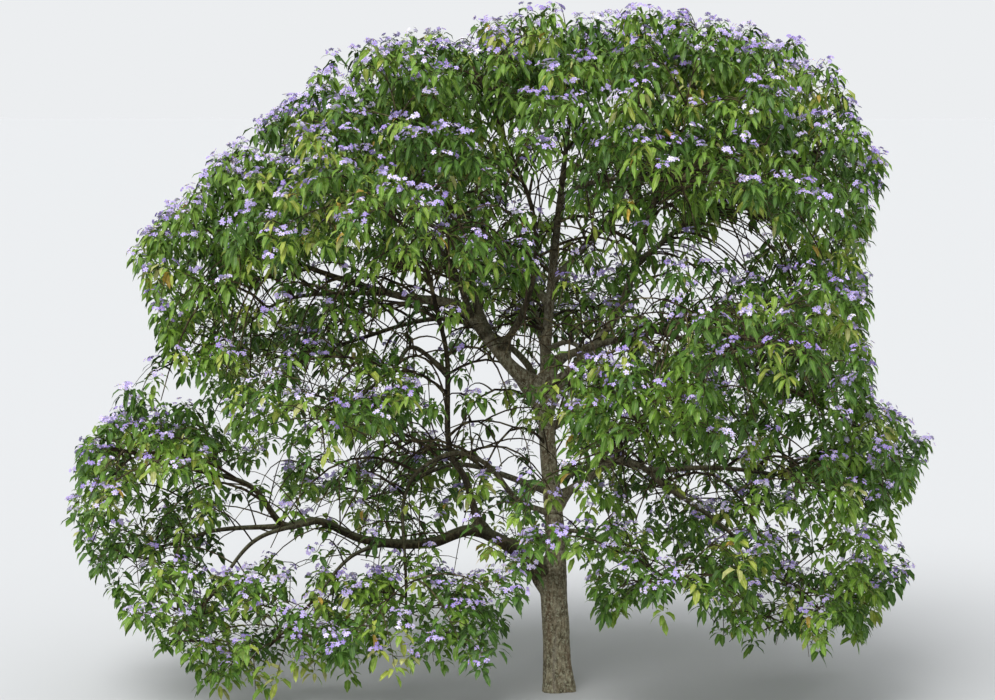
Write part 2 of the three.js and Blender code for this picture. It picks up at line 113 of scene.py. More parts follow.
# The limbs, in millimetres as in the part's own source: parent, the share of its length at
# which a limb leaves, the diameters at foot and tip, the heart and half width and height of
# the mass that it enters, how far its middle is raised if it has no bends, and its bends
limbTable = {
    "trunk": (
        None, 0, (272, 44), (155, 60, 6070), (1080, 700), 0,
        (-29, 0, 657), (-48, 0, 1014), (-29, 10, 1391), (-63, 20, 1884),
        (-126, 30, 2657), (-130, 50, 3200), (-40, 110, 4300),
    ),
    "low_left_bough": (
        "trunk", 0.205, (150, 42), (-3980, -500, 2380), (950, 700), 0,
        (-420, -40, 1390), (-840, -80, 1585), (-1250, -150, 1470), (-1870, -260, 1520),
        (-2330, -330, 1715), (-2630, -380, 1680), (-2950, -420, 2060),
    ),
    "outer_left_bough": ("low_left_bough", 0.7, (58, 32), (-4060, -100, 1360), (820, 620), 90),
    "drooping_left_bough": (
        "low_left_bough", 0.64, (52, 28), (-3560, -950, 740), (900, 620), 0, (-2900, -560, 1560),
    ),
    "hanging_left_bough": (
        "low_left_bough", 0.46, (50, 28), (-2560, -1150, 800), (850, 620), 0, (-2000, -600, 1400),
    ),
    "rising_left_bough": (
        "low_left_bough", 0.215, (76, 46), (-1250, -650, 4150), (900, 640), 0,
        (-905, -90, 2080), (-1050, -160, 2370), (-1080, -220, 3300),
    ),
    "front_left_bough": (
        "rising_left_bough", 0.7, (50, 32), (-2070, -1650, 2850), (950, 720), 0,
        (-1400, -500, 3400), (-1560, -900, 3240),
    ),
    "arching_bough": (
        "trunk", 0.31, (62, 28), (-1450, -950, 930), (800, 600), 0,
        (-400, -130, 1890), (-690, -230, 2240), (-980, -300, 2370), (-1340, -380, 2210),
        (-1480, -460, 1960),
    ),
    "great_left_bough": (
        "trunk", 0.53, (142, 40), (-3280, -100, 4480), (1120, 760), 0,
        (-406, -40, 3120), (-676, -90, 3430), (-960, -120, 3760), (-1510, -160, 3860),
        (-2190, -160, 4060),
    ),
    "left_tier_bough": (
        "great_left_bough", 0.62, (52, 30), (-3420, -380, 3340), (900, 680), 0, (-2600, -260, 3840),
    ),
    "upper_left_bough": (
        "great_left_bough", 0.27, (94, 42), (-1680, -50, 5520), (1120, 740), 0,
        (-830, 40, 3950), (-985, 60, 4600),
    ),
    "crown_left_bough": (
        "great_left_bough", 0.2, (74, 36), (-720, -350, 5860), (940, 680), 0,
        (-380, -190, 3640), (-230, -230, 4200), (-260, -260, 4680),
    ),
    "front_left_high_bough": (
        "great_left_bough", 0.34, (66, 34), (-1650, -2150, 4800), (1060, 760), 0,
        (-1050, -900, 4250),
    ),
    "great_right_bough": (
        "trunk", 0.52, (112, 42), (1320, 150, 6020), (1080, 740), 0,
        (300, 20, 3330), (590, 30, 3740), (800, 60, 4400), (1000, 90, 5000),
    ),
    "upper_right_bough": (
        "great_right_bough", 0.52, (64, 34), (2380, 120, 5200), (960, 760), 0, (1450, 120, 4720),
    ),
    "front_crown_bough": (
        "trunk", 0.86, (56, 32), (1150, -1800, 5000), (1040, 740), 0,
        (220, -160, 4920), (560, -700, 5000),
    ),
    "right_tier_bough": (
        "trunk", 0.575, (86, 36), (2480, -200, 3900), (900, 700), 0,
        (370, -60, 3390), (830, -110, 3490), (1360, -140, 3720),
    ),
    "front_right_bough": (
        "right_tier_bough", 0.36, (54, 32), (1700, -2550, 3620), (1000, 720), 0,
        (1150, -1000, 3640),
    ),
    "right_drooping_bough": (
        "right_tier_bough", 0.5, (50, 30), (2600, -380, 2760), (880, 680), 0, (1650, -240, 3280),
    ),
    "low_right_bough": (
        "trunk", 0.335, (88, 34), (2330, -650, 1000), (980, 700), 0,
        (280, -40, 2080), (520, -70, 2245), (790, -110, 2210), (1000, -150, 2040),
        (1450, -260, 1750),
    ),
    "outer_right_bough": (
        "low_right_bough", 0.42, (60, 32), (2980, 60, 1980), (860, 640), 0, (1560, 20, 2180),
    ),
    "front_low_right_bough": (
        "trunk", 0.285, (50, 28), (950, -1750, 1400), (920, 680), 0, (240, -520, 1620),
    ),
    "front_middle_bough": (
        "trunk", 0.6, (58, 30), (640, -2350, 2900), (860, 640), 0, (120, -800, 3460),
    ),
    "back_left_high_bough": ("trunk", 0.68, (76, 36), (-1550, 1950, 4900), (1080, 780), 160),
    "back_right_high_bough": ("trunk", 0.72, (76, 36), (1400, 2050, 4950), (1080, 780), 160),
    "back_left_bough": (
        "trunk", 0.48, (80, 36), (-2700, 2050, 3100), (1020, 740), 0,
        (-330, 520, 3180), (-1080, 1180, 3540),
    ),
    "back_right_bough": ("trunk", 0.46, (80, 36), (2250, 2200, 3080), (1020, 740), 260),
    "back_middle_bough": ("trunk", 0.58, (80, 36), (-250, 3050, 3480), (1020, 760), 200),
    "back_low_left_bough": ("trunk", 0.35, (72, 34), (-1950, 2650, 1500), (1060, 740), 320),
    "back_low_right_bough": ("trunk", 0.37, (72, 34), (1500, 2800, 1480), (1060, 740), 320),
}
limbs = {}

# How the wood is shaped, as in the part's own source
wood = {
    "faceGap": 0.0003,
    "boughStep": 0.56,
    "fewestPieces": 3,
    "forkRoom": 0.4,  # of a step, that even rings keep from a fork's ring
    "taperPower": 0.8,
    "trunkGirths": [(0, 272), (0.19, 262), (0.25, 192), (0.5, 152), (0.57, 112), (1, 44)],
    "trunkLevels": [0, 0.02, 0.045, 0.085, 0.19, 0.25, 0.38, 0.5, 0.57, 0.7, 0.85, 1],
    "flareHeight": 0.42,
    "flareGirth": 0.082,
    "entryShare": 0.5,  # of a mass's half width, where its limb ends
}


def unit(vector):
    vector = np.asarray(vector, float)
    return vector / np.maximum(np.linalg.norm(vector, axis=-1, keepdims=True), 1e-12)


def squareTo(heading, direction):
    # What a direction has square to a heading
    return unit(direction - heading * (direction * heading).sum(-1, keepdims=True))


def turned(across, over, turns):
    # From across, at no turn, towards over, at a quarter turn
    turns = np.asarray(turns)[..., None]
    return across * np.cos(turns) + over * np.sin(turns)


def roundAxis(axis, turns, reference=up, spread=(1, 1)):
    # Directions square to an axis and turned round it, from the side that the reference
    # gives. spread stretches them to the side and up, and a negative turn goes upwards.
    side = unit(np.cross(axis, reference))
    return turned(side * spread[0], np.cross(axis, side) * spread[1], turns)


class Curve:
    # A smooth curve that is read by the share of its length. place(steps) gives its points.
    steps = np.linspace(0, 1, 201)
    headingReach = 1e-4  # steps to either side, between which a heading is taken

    def __init__(self, place):
        self.place = place
        gaps = np.linalg.norm(np.diff(place(self.steps), axis=0), axis=1)
        self.lengths = np.concatenate(([0], np.cumsum(gaps)))
        self.length = self.lengths[-1]

    def stepOf(self, share):
        return np.interp(np.asarray(share) * self.length, self.lengths, self.steps)

    def at(self, share):
        points = self.place(np.atleast_1d(self.stepOf(share)))
        return points if np.ndim(share) else points[0]

    def headingAt(self, share):
        step = np.atleast_1d(self.stepOf(share))
        ahead = self.place(np.minimum(step + self.headingReach, 1))
        behind = self.place(np.maximum(step - self.headingReach, 0))
        headings = unit(ahead - behind)
        return headings if np.ndim(share) else headings[0]


def splineThrough(points):
    # A centripetal Catmull-Rom curve, the one the part's own source bends its limbs along
    points = np.array(points, float)
    first, last = 2 * points[0] - points[1], 2 * points[-1] - points[-2]
    padded = np.vstack([first, points, last])
    spans = np.sqrt(np.linalg.norm(np.diff(padded, axis=0), axis=1))[:, None]

    def place(steps):
        scaled = steps * (len(points) - 1)
        index = np.minimum(scaled.astype(int), len(points) - 2)
        t = (scaled - index)[:, None]
        before, start, end, after = (padded[index + k] for k in range(4))
        span0, span1, span2 = (spans[index + k] for k in range(3))
        leave = (start - before) / span0 - (end - before) / (span0 + span1) + (end - start) / span1
        enter = (end - start) / span1 - (after - start) / (span1 + span2) + (after - end) / span2
        leave, enter = leave * span1, enter * span1
        cubic = 2 * start - 2 * end + leave + enter
        square = -3 * start + 3 * end - 2 * leave - enter
        return start + t * (leave + t * (square + t * cubic))

    return Curve(place)


def bezierOver(foot, knee, end):
    foot, knee, end = (np.asarray(p, float) for p in (foot, knee, end))

    def place(steps):
        t = steps[:, None]
        return (1 - t) ** 2 * foot + 2 * t * (1 - t) * knee + t ** 2 * end

    return Curve(place)


def radiusOf(limb, share):
    share = np.asarray(share, float)
    foot, tip = limb["girth"]
    if limb["parent"]:
        return (foot + (tip - foot) * share ** wood["taperPower"]) / 2
    levels, girths = zip(*wood["trunkGirths"])
    fall = np.maximum(0, 1 - share * limb["length"] / wood["flareHeight"])
    return (np.interp(share, levels, girths) / 1000 + wood["flareGirth"] * fall ** 2) / 2


def ringLevels(limb):
    # A ring where each bough leaves, and even ones away from those
    if not limb["parent"]:
        return wood["trunkLevels"]
    steps = max(wood["fewestPieces"], round(limb["length"] / wood["boughStep"]))
    forks = [other["share"] for other in limbs.values() if other["parent"] == limb["name"]]
    even = [i / steps for i in range(1, steps)]
    nearest = wood["forkRoom"] / steps
    between = [level for level in even if all(abs(fork - level) > nearest for fork in forks)]
    return sorted([0, *forks, *between, 1])


def layCourses():
    for name, (parent, share, girth, heart, spread, arch, *bends) in limbTable.items():
        girth, heart, spread, bends = (
            np.array(values) / 1000 for values in (girth, heart, spread, bends)
        )
        foot = limbs[parent]["course"].at(share) if parent else np.zeros(3)
        if not len(bends):
            bends = (foot + heart)[None] / 2 + up * arch / 1000
        tip = heart + unit(bends[-1] - heart) * wood["entryShare"] * spread[0]
        course = splineThrough([foot, *bends, tip])
        limbs[name] = {
            "name": name, "parent": parent, "share": share, "girth": girth, "heart": heart,
            "spread": spread, "tip": tip, "course": course, "length": course.length,
        }
    for limb in limbs.values():
        limb["levels"] = ringLevels(limb)


layCourses()
print("limbs laid:", len(limbs))

# The source's rule of growth, with its own sizes
growth = {
    "seed": 2,
    "cellGap": 0.005,
    "limbGap": 0.012,
    "groundGap": 0.06,
    "stemReach": 0.3,
    "envelopeSlack": 1.05,
    "flattening": 1.25,
    "branchPatch": 0.188,
    "branchReach": 0.7,
    "branchGirth": 0.02,
    "branchAttempts": 6,
    "firstBranch": 0.3,
    "branchStretch": 0.68,
    "topLevel": 0.85,
    "levelStretch": 1.6,
    "levelScatter": 0.2,
    "bearingScatter": 0.5,
    "kneeRise": 0.1,
    "spraysPerBranch": 5,
    "firstSpray": 0.97,
    "sprayGap": 0.16,
    "sprayLength": 0.76,
    "shortestSpray": 0.9,
    "lengthScatter": 0.2,
    "turnScatter": 0.8,
    "sprayTwist": 1.7,
    "sprayTurn": 0.9,
    "sprayAttempts": 10,
    "sprayShrink": 0.05,
    "spread": (0.9, 0.7),  # to the side and upwards
    "crestShare": 0.42,
    "crestRise": 0.04,
    "tipShare": 0.96,
    "sprayDroop": 0.3,
    "sprayWidthShare": 0.5,
    "edgeSag": 0.12,
    "sprayThickness": 0.01,
    "woodRoom": 0.3,
    "branchRoom": 0.45,
    "bladeRoom": 0.5,
    "testMarks": 6,  # along each straight piece, where distances are measured
}
rolls = {
    "seedFactor": 7919, "seedStep": 12345, "factor": 1664525, "step": 1013904223,
    "end": 2 ** 32,
}


def dice(seed):
    # The source's small seeded generator, so that the same tree grows here
    state = (seed * rolls["seedFactor"] + rolls["seedStep"]) % rolls["end"]

    def roll():
        nonlocal state
        state = (state * rolls["factor"] + rolls["step"]) % rolls["end"]
        return state / rolls["end"]

    return roll


def limbPieces():
    starts, ends, radii = [], [], []
    for limb in limbs.values():
        line = limb["course"].at(np.array(limb["levels"], float))
        starts.append(line[:-1])
        ends.append(line[1:])
        radii.append(radiusOf(limb, limb["levels"][:-1]))
    return np.vstack(starts), np.vstack(ends), np.concatenate(radii)


pieceStarts, pieceEnds, pieceRadii = limbPieces()
hearts, spreads = (np.array([limb[key] for limb in limbs.values()]) for key in ("heart", "spread"))


def toSegments(points, starts, ends):
    # Distance of every point to every segment, as a table
    runs = ends - starts
    offsets = points[:, None] - starts[None]
    shares = (offsets * runs).sum(-1) / np.maximum((runs ** 2).sum(-1), 1e-12)
    feet = starts + runs * np.clip(shares, 0, 1)[..., None]
    return np.linalg.norm(points[:, None] - feet, axis=-1)


def pieceDistances(first, last, starts, ends):
    marks = np.linspace(0, 1, growth["testMarks"] + 1)[:, None]
    own = first + (last - first) * marks
    near = toSegments(own, starts, ends).min(0)
    others = starts[None] + (ends - starts)[None] * marks[..., None]
    back = toSegments(others.reshape(-1, 3), first[None], last[None])
    return np.minimum(near, back.reshape(len(marks), -1).min(0))


def clearOfLimbs(path, halfWidth):
    least = pieceRadii + halfWidth + growth["limbGap"]
    return all(
        (pieceDistances(start, end, pieceStarts, pieceEnds) > least).all()
        for start, end in zip(path[:-1], path[1:])
    )


def insideMass(index, point):
    wide, high = spreads[index]
    offset = (point - hearts[index]) / (wide, wide, high)
    if np.linalg.norm(offset) >= growth["envelopeSlack"] or point[2] <= growth["groundGap"]:
        return False
    stretch = (1, 1, growth["flattening"])
    middles, here = hearts * stretch, point * stretch
    powers = ((here - middles) ** 2).sum(1) - spreads[:, 0] ** 2
    apart = np.linalg.norm(middles - middles[index], axis=1)
    apart[index] = 1
    depths = (powers - powers[index]) / (2 * apart) / growth["flattening"]
    depths[index] = np.inf
    return depths.min() > growth["cellGap"]


def ballPoint(index, direction, share):
    wide, high = spreads[index]
    return hearts[index] + direction * (wide, wide, high) * share


def directionAt(bearing, level):
    flat = math.sqrt(max(0.0, 1 - level * level))
    return np.array((flat * math.cos(bearing), flat * math.sin(bearing), level))


def kneeOver(foot, end, rise):
    return (foot + end) / 2 + up * rise * np.linalg.norm(end - foot)


def growMass(index, limb):
    # The mass's stem, its branches on a golden spiral and the sprays of each branch
    roll = dice(growth["seed"] + index)
    wide, high = limb["spread"]
    count = round(wide * high / growth["branchPatch"])
    heading = limb["course"].headingAt(1.0)
    foot = limb["tip"] + heading * wood["faceGap"]
    bend = foot + heading * growth["stemReach"] * wide
    stem = bezierOver(foot, bend, ballPoint(index, heading, growth["stemReach"]))
    branches, sprays = [], []
    phase = roll() * 2 * math.pi
    for i in range(count):
        base = stem.at(growth["firstBranch"] + growth["branchStretch"] * (i + 0.5) / count)
        fall = growth["levelStretch"] * (i + 0.5) / count
        level = growth["topLevel"] - fall + growth["levelScatter"] * (roll() - 0.5)
        bearing = phase + goldenAngle * i + growth["bearingScatter"] * (roll() - 0.5)
        for attempt in range(growth["branchAttempts"]):
            direction = directionAt(bearing + growth["sprayTurn"] * attempt, level)
            end = ballPoint(index, direction, growth["branchReach"])
            path = [base, kneeOver(base, end, growth["kneeRise"]), end]
            inside = all(insideMass(index, point) for point in path)
            if inside and clearOfLimbs(path, growth["branchGirth"] / 2):
                branches.append(path)
                break
    for number in range(len(branches)):
        growSprays(index, number, branches, sprays, roll)
    return stem, branches, sprays


def growSprays(index, number, branches, sprays, roll):
    path = branches[number]
    branch = bezierOver(*path)
    for k in range(growth["spraysPerBranch"]):
        share = growth["firstSpray"] - growth["sprayGap"] * k
        root = branch.at(share)
        heading = unit(unit(path[2] - path[0]) + unit(root - hearts[index]))
        scatter = growth["shortestSpray"] + growth["lengthScatter"] * roll()
        fullLength = growth["sprayLength"] * scatter
        start = goldenAngle * k + growth["turnScatter"] * roll()
        twist = growth["sprayTwist"] * (roll() - 0.5)
        for attempt in range(growth["sprayAttempts"]):
            angle = start + growth["sprayTurn"] * attempt
            length = fullLength * (1 - growth["sprayShrink"] * attempt)
            reach = unit(heading + roundAxis(heading, -angle, spread=growth["spread"]))
            spray = sprayOf(root, reach, length, twist, growth["sprayWidthShare"])
            if fits(index, spray, path, branches, sprays):
                sprays.append({**spray, "branch": number, "share": share})
                break


def sprayOf(root, reach, length, twist, widthShare):
    crest = root + reach * growth["crestShare"] * length + up * growth["crestRise"] * length
    tip = root + reach * growth["tipShare"] * length - up * growth["sprayDroop"] * length
    across, width = roundAxis(reach, twist), widthShare * length
    return {"root": root, "crest": crest, "tip": tip, "across": across, "width": width}


def fits(index, spray, ownPath, branches, sprays):
    # Whether a spray stays in its mass's own space, clear of the wood and of other sprays
    width = spray["width"]
    half = spray["across"] * width / 2
    sag = up * growth["edgeSag"] * width
    edges = [spray["crest"] - half - sag, spray["crest"] + half - sag]
    outer = [spray["crest"], spray["tip"]]
    if not all(insideMass(index, point) for point in outer + edges):
        return False
    if not clearOfLimbs([spray["root"], *outer], growth["woodRoom"] * width):
        return False
    if not clearOfLimbs(edges, growth["sprayThickness"]):
        return False
    others = [p for p in branches if p is not ownPath]
    for lines, least in (
        ([p[k:k + 2] for p in others for k in (0, 1)], growth["branchRoom"]),
        ([(other["crest"], other["tip"]) for other in sprays], growth["bladeRoom"]),
    ):
        if lines:
            starts, ends = np.array(lines).swapaxes(0, 1)
            if (pieceDistances(*outer, starts, ends) <= least * width).any():
                return False
    return True


# Twigs and tufts are gathered here as they grow, and made into meshes at the end
twigs = []  # path, foot radius, tip radius, sides
tufts = []  # place, axis, tone
woodMarks = []  # places on branches that a further branch can leave from

# The crown as the photograph shows it, in metres seen in the plane of the trunk. Tufts reach
# so far to the left and right of the trunk's foot, at heights from the ground up.
crownReach = {
    "heights": (
        0.2, 0.7, 1.2, 1.75, 2.45, 2.9, 3.35, 3.8, 4.3, 4.7, 5.15, 5.6, 6.0, 6.25, 6.37, 6.5,
    ),
    "left": (
        3.7, 4.15, 4.5, 4.72, 4.58, 4.25, 3.78, 3.88, 4.12, 3.75, 3.3, 2.75, 2.3, 2.08, 1.3, 0.5,
    ),
    "right": (
        2.8, 3.0, 3.4, 3.25, 3.58, 2.98, 2.98, 2.95, 2.9, 2.98, 3.12, 2.82, 2.65, 2.3, 2.0, 1.4,
    ),
}

# Where the photograph shows through the crown: the middle of each opening, half its width
# and height, and the share of the near side's tufts left out
crownOpenings = {
    "trunk's foot": (0.0, 0.45, 0.45, 0.95, 1.0),
    "right of the trunk's foot": (0.8, 0.12, 0.85, 0.66, 1.0),
    "under the low right crown": (1.8, 0.35, 0.7, 0.4, 0.8),
    "trunk above the fork": (-0.03, 2.25, 0.24, 0.75, 0.85),
    "great left bough": (-0.6, 3.35, 0.8, 0.7, 0.85),
    "beside the rising left bough": (-0.75, 2.75, 0.7, 0.65, 0.85),
    "low left bough": (-1.9, 1.55, 1.5, 0.38, 0.85),
    "above the low left bough": (-2.2, 2.1, 1.3, 0.45, 0.85),
    "under the arching bough": (-1.35, 2.15, 0.95, 0.5, 0.75),
    "low right bough": (0.75, 2.1, 0.8, 0.4, 0.75),
    "great right bough": (0.75, 4.1, 1.0, 0.8, 0.75),
    "fan beyond the great right bough": (1.8, 4.25, 0.6, 0.45, 0.8),
    "under the left crown": (-2.1, 3.6, 1.2, 0.72, 0.85),
    "under the top": (0.15, 4.85, 0.8, 0.42, 0.7),
    "before the upper left bough": (-1.15, 4.4, 0.8, 0.6, 0.7),
    "middle right": (1.7, 3.2, 1.2, 0.9, 0.52),
    "low right crown": (1.55, 1.5, 1.35, 0.9, 0.52),
    "low left crown": (-3.2, 1.3, 1.4, 1.0, 0.57),
    "left edge of the middle": (-3.2, 3.0, 0.9, 0.6, 0.45),
}
openness = {
    "farSide": 0.9,  # metres behind the trunk, from which openings count for less
    "farShare": 0.78,  # but for whole ones, which go right through
    "twigs": 0.99,  # openings with a larger share than this are bare of twigs too
    "unfilled": 0.58,  # with a larger one than this they aren't filled
    "thin": 0.3,  # and with a larger one than this they are filled less
}
room = {
    "tuft": (0.12, 0.12, 0.16),  # that a tuft keeps to itself: across, deep and high
    "tuftEdge": (0.13, 0.13, 0.08),  # that it needs inside the part's own box
    "twigEdge": 0.01,
    "lowestTuft": 0.42,
    "lowestTwig": 0.36,
    "mostTufts": 20000,
    "twigMarks": 13,  # along a twig, where its room is tested
    "shortest": 0.2,  # of a twig's length, that has to stand for any of it to be kept
}
tuftLow, tuftHigh = boxLow + room["tuftEdge"], boxHigh - room["tuftEdge"]
twigLow, twigHigh = boxLow + room["twigEdge"], boxHigh - room["twigEdge"]
tuftLow[2], twigLow[2] = max(tuftLow[2], room["lowestTuft"]), room["lowestTwig"]
tuftPlaces = np.full((room["mostTufts"], 3), np.inf)


def seenAt(place):
    # Where the line from the camera through a place meets the plane of the trunk
    eye = np.array(bpy.context.scene.camera.location)
    share = eye[1] / (eye[1] - place[1])
    across, _, height = eye + (place - eye) * share
    return across, height


def opened(place, chance):
    across, height = seenAt(place)
    part = openness["farShare"] if place[1] > openness["farSide"] else 1
    return any(
        ((across - x) / wide) ** 2 + ((height - z) / high) ** 2 < 1
        and chance < (1 if share == 1 else share * part)
        for x, z, wide, high, share in crownOpenings.values()
    )


def crownSides(heights):
    return (np.interp(heights, crownReach["heights"], crownReach[key]) for key in ("left", "right"))


def withinReach(place):
    across, height = seenAt(place)
    left, right = crownSides(height)
    return -left < across < right


def crowded(place):
    gaps = (tuftPlaces[:len(tufts)] - place) / room["tuft"]
    return np.linalg.norm(gaps, axis=1).min(initial=1.0) < 1


def roomFor(place, chance):
    # Whether a tuft can stand at a place
    if (place < tuftLow).any() or (place > tuftHigh).any():
        return False
    return not opened(place, chance) and withinReach(place) and not crowded(place)


def addTuft(place, axis, tone, chance):
    if roomFor(place, chance):
        tuftPlaces[len(tufts)] = place
        tufts.append((place, unit(axis), tone))


def freeShare(curve):
    # How much of a curve stays within the crown, from its foot on
    marks = np.linspace(0, 1, room["twigMarks"])
    free = [
        withinReach(place) and (place > twigLow).all() and (place < twigHigh).all()
        and not opened(place, openness["twigs"])
        for place in curve.at(marks)
    ]
    last = marks[free.index(False) - 1] if False in free else 1.0
    return last if free[0] and last >= room["shortest"] else 0.0


# Girths at foot and tip, sides and rings of each kind of twig
twigKinds = {
    "branch": ((0.02, 0.011), 6, 8),
    "fineBranch": ((0.015, 0.008), 5, 7),
    "shoot": ((0.017, 0.006), 5, 8),
    "arch": ((0.032, 0.0096), 5, 9),
    "archOnArch": ((0.019, 0.0057), 5, 9),
    "fan": ((0.019, 0.008), 5, 9),
    "spray": ((0.011, 0.005), 4, 6),
    "spur": ((0.0065, 0.0035), 3, 3),
}
leastWood = 0.014  # girth at the foot, above which a further branch can leave a twig


def addTwig(curve, girths, sides, rings):
    # As much of the curve as stays within the crown, and how much that is
    last = freeShare(curve)
    if not last:
        return 0.0
    path = curve.at(np.linspace(0, last, rings))
    twigs.append((path, girths[0] / 2, girths[1] / 2, sides))
    if girths[0] > leastWood:
        woodMarks.extend(path[1:])
    return last


def addSpur(curve, axis, tone, chance):
    # A side twig with a tuft at its end, where there is room for both
    end = curve.at(1.0)
    if roomFor(end, chance) and freeShare(curve) == 1:
        addTwig(curve, *twigKinds["spur"])
        addTuft(end, axis, tone, chance)


def addEndTuft(curve, last, rise, tone, dicer):
    addTuft(curve.at(last), curve.headingAt(last) * 0.5 + up * rise, tone, dicer.random())


def lean(side, heading, shares):
    # A direction out of three: to the side, ahead and up
    return side * shares[0] + heading * shares[1] + up * shares[2]


# A leafy spray: its side twigs stand to the left and right in turn, and turn up
leafy = {
    "seed": 7,
    "sourceTufts": 7,  # side twigs of a source's spray, and of a finer one
    "fineTufts": 4,
    "first": 0.28,  # of the spray's length, and the stretch and scatter that follow
    "stretch": 0.68,
    "scatter": 0.4,
    "lengths": (0.3, 0.35),  # of the spray's width: at its ends, and more in its middle
    "swell": (0.15, 0.75),
    "lengthScatter": (0.8, 1.25),
    "bend": (0.7, 0.25, -0.06),
    "bendShare": 0.6,
    "end": (0.8, 0.45),
    "lifts": (0.1, 0.55),
    "axis": (0.28, 0.25, 0.85),
    "axisScatter": 0.16,
    "endRise": 0.75,
    "twist": 0.7,
}


def leafySpray(spray, count, dicer):
    root, crest, tip = (spray[key] for key in ("root", "crest", "tip"))
    along = bezierOver(root, 2 * crest - (root + tip) / 2, tip)
    last = addTwig(along, *twigKinds["spray"])
    if not last:
        return
    tone = dicer.random()
    first = 1 if dicer.random() < 0.5 else -1
    for k in range(count):
        part = (k + leafy["scatter"] * dicer.random()) / count
        share = last * (leafy["first"] + leafy["stretch"] * part)
        base, heading = along.at(share), along.headingAt(share)
        side = spray["across"] * first * (-1) ** k
        swell = math.sin(math.pi * (leafy["swell"][0] + leafy["swell"][1] * share))
        length = spray["width"] * (leafy["lengths"][0] + leafy["lengths"][1] * swell)
        length *= dicer.uniform(*leafy["lengthScatter"])
        lift = dicer.uniform(*leafy["lifts"])
        bend = base + lean(side, heading, leafy["bend"]) * length * leafy["bendShare"]
        end = base + lean(side, heading, (*leafy["end"], lift)) * length
        axis = lean(side, heading, leafy["axis"]) + dicer.normal(0, leafy["axisScatter"], 3)
        addSpur(bezierOver(base, bend, end), axis, tone, dicer.random())
    addEndTuft(along, last, leafy["endRise"], tone, dicer)


# Finer growth than the source's, inside the same reach: more branches in every mass
fine = {
    "stemTaper": 0.7,
    "stemDetail": (8, 7),  # sides and rings
    "branches": 9,
    "feet": (0.15, 0.8),  # the first one's place on the stem, and the stretch of them all
    "levels": (0.9, 1.5),
    "levelScatter": 0.1,
    "reaches": (0.5, 0.86),
    "rise": 0.16,
    "sprays": 4,
    "sprayFeet": (0.98, 0.22),  # the outermost one's place on its branch, and the gap
    "spread": (0.9, 0.6),
    "turn": 2,
    "length": 0.46,
    "lengthScatter": (0.8, 1.2),
    "width": 0.55,
}


def fineSpray(root, heading, k, lengths, dicer):
    angle = goldenAngle * k + dicer.uniform(0, fine["turn"])
    reach = unit(heading + roundAxis(heading, -angle, spread=fine["spread"]))
    length = fine["length"] * dicer.uniform(*lengths)
    twist = dicer.uniform(-leafy["twist"], leafy["twist"])
    leafySpray(sprayOf(root, reach, length, twist, fine["width"]), leafy["fineTufts"], dicer)


def dressMass(index, limb, dicer):
    stem, branches, sprays = growMass(index, limb)
    tipGirth = limb["girth"][1]
    addTwig(stem, (tipGirth, fine["stemTaper"] * tipGirth), *fine["stemDetail"])
    kept = [addTwig(bezierOver(*path), *twigKinds["branch"]) for path in branches]
    for spray in sprays:
        if spray["share"] <= kept[spray["branch"]]:
            leafySpray(spray, leafy["sourceTufts"], dicer)
    phase = dicer.random() * 2 * math.pi
    for i in range(fine["branches"]):
        part = (i + 0.5) / fine["branches"]
        base = stem.at(fine["feet"][0] + fine["feet"][1] * part)
        scatter = dicer.uniform(-fine["levelScatter"], fine["levelScatter"])
        level = fine["levels"][0] - fine["levels"][1] * part + scatter
        direction = directionAt(phase + goldenAngle * i, level)
        end = ballPoint(index, direction, dicer.uniform(*fine["reaches"]))
        branch = bezierOver(base, kneeOver(base, end, fine["rise"]), end)
        last = addTwig(branch, *twigKinds["fineBranch"])
        for k in range(fine["sprays"] if last else 0):
            root = branch.at(last * (fine["sprayFeet"][0] - fine["sprayFeet"][1] * k))
            heading = unit(unit(end - base) + unit(root - limb["heart"]))
            fineSpray(root, heading, k, fine["lengthScatter"], dicer)
    return len(sprays)


def feetAlong(limb, look, dicer):
    # Places along the outer part of a bough that thin branches leave from
    count = int(limb["length"] * look["part"] / look["spacing"])
    for k in range(count):
        share = look["from"] + look["stretch"] * (k + dicer.random()) / count
        foot = limb["course"].at(share)
        if foot[2] >= look["lowest"]:
            yield k, foot, limb["course"].headingAt(share)


spur = {"reach": 0.8, "bow": 0.02, "axis": (0.3, 0, 0.85), "axisScatter": 0.18, "endRise": 0.7}


def spursAlong(curve, last, look, tone, dicer):
    # Leafy side twigs to the left and right in turn, and a tuft at the curve's end
    for k in range(look["tufts"]):
        share = last * (look["first"] + look["step"] * k + look["scatter"] * dicer.random())
        base, heading = curve.at(share), curve.headingAt(share)
        side = unit(np.cross(heading, up)) * (-1) ** k
        out = lean(side, heading, (spur["reach"], 0, look["rise"]))
        end = base + out * dicer.uniform(*look["spurLengths"])
        axis = lean(side, heading, spur["axis"]) + dicer.normal(0, spur["axisScatter"], 3)
        bend = (base + end) / 2 + side * spur["bow"]
        addSpur(bezierOver(base, bend, end), axis, tone, dicer.random())
    addEndTuft(curve, last, spur["endRise"], tone, dicer)


# Thin arching shoots on the outer part of every bough
shoots = {
    "part": 0.72,
    "from": 0.28,
    "stretch": 0.7,
    "spacing": 0.17,
    "lowest": 1.2,
    "lengths": (0.6, 1.45),
    "turnScatter": 0.4,
    "ahead": (0.55, 0.25),  # along the bough and up
    "knee": (0.55, 0.22),
    "droops": (0.05, 0.4),
    "tufts": 4,
    "first": 0.45,
    "step": 0.1275,
    "scatter": 0.1275,
    "rise": 0.35,
    "spurLengths": (0.08, 0.24),
}


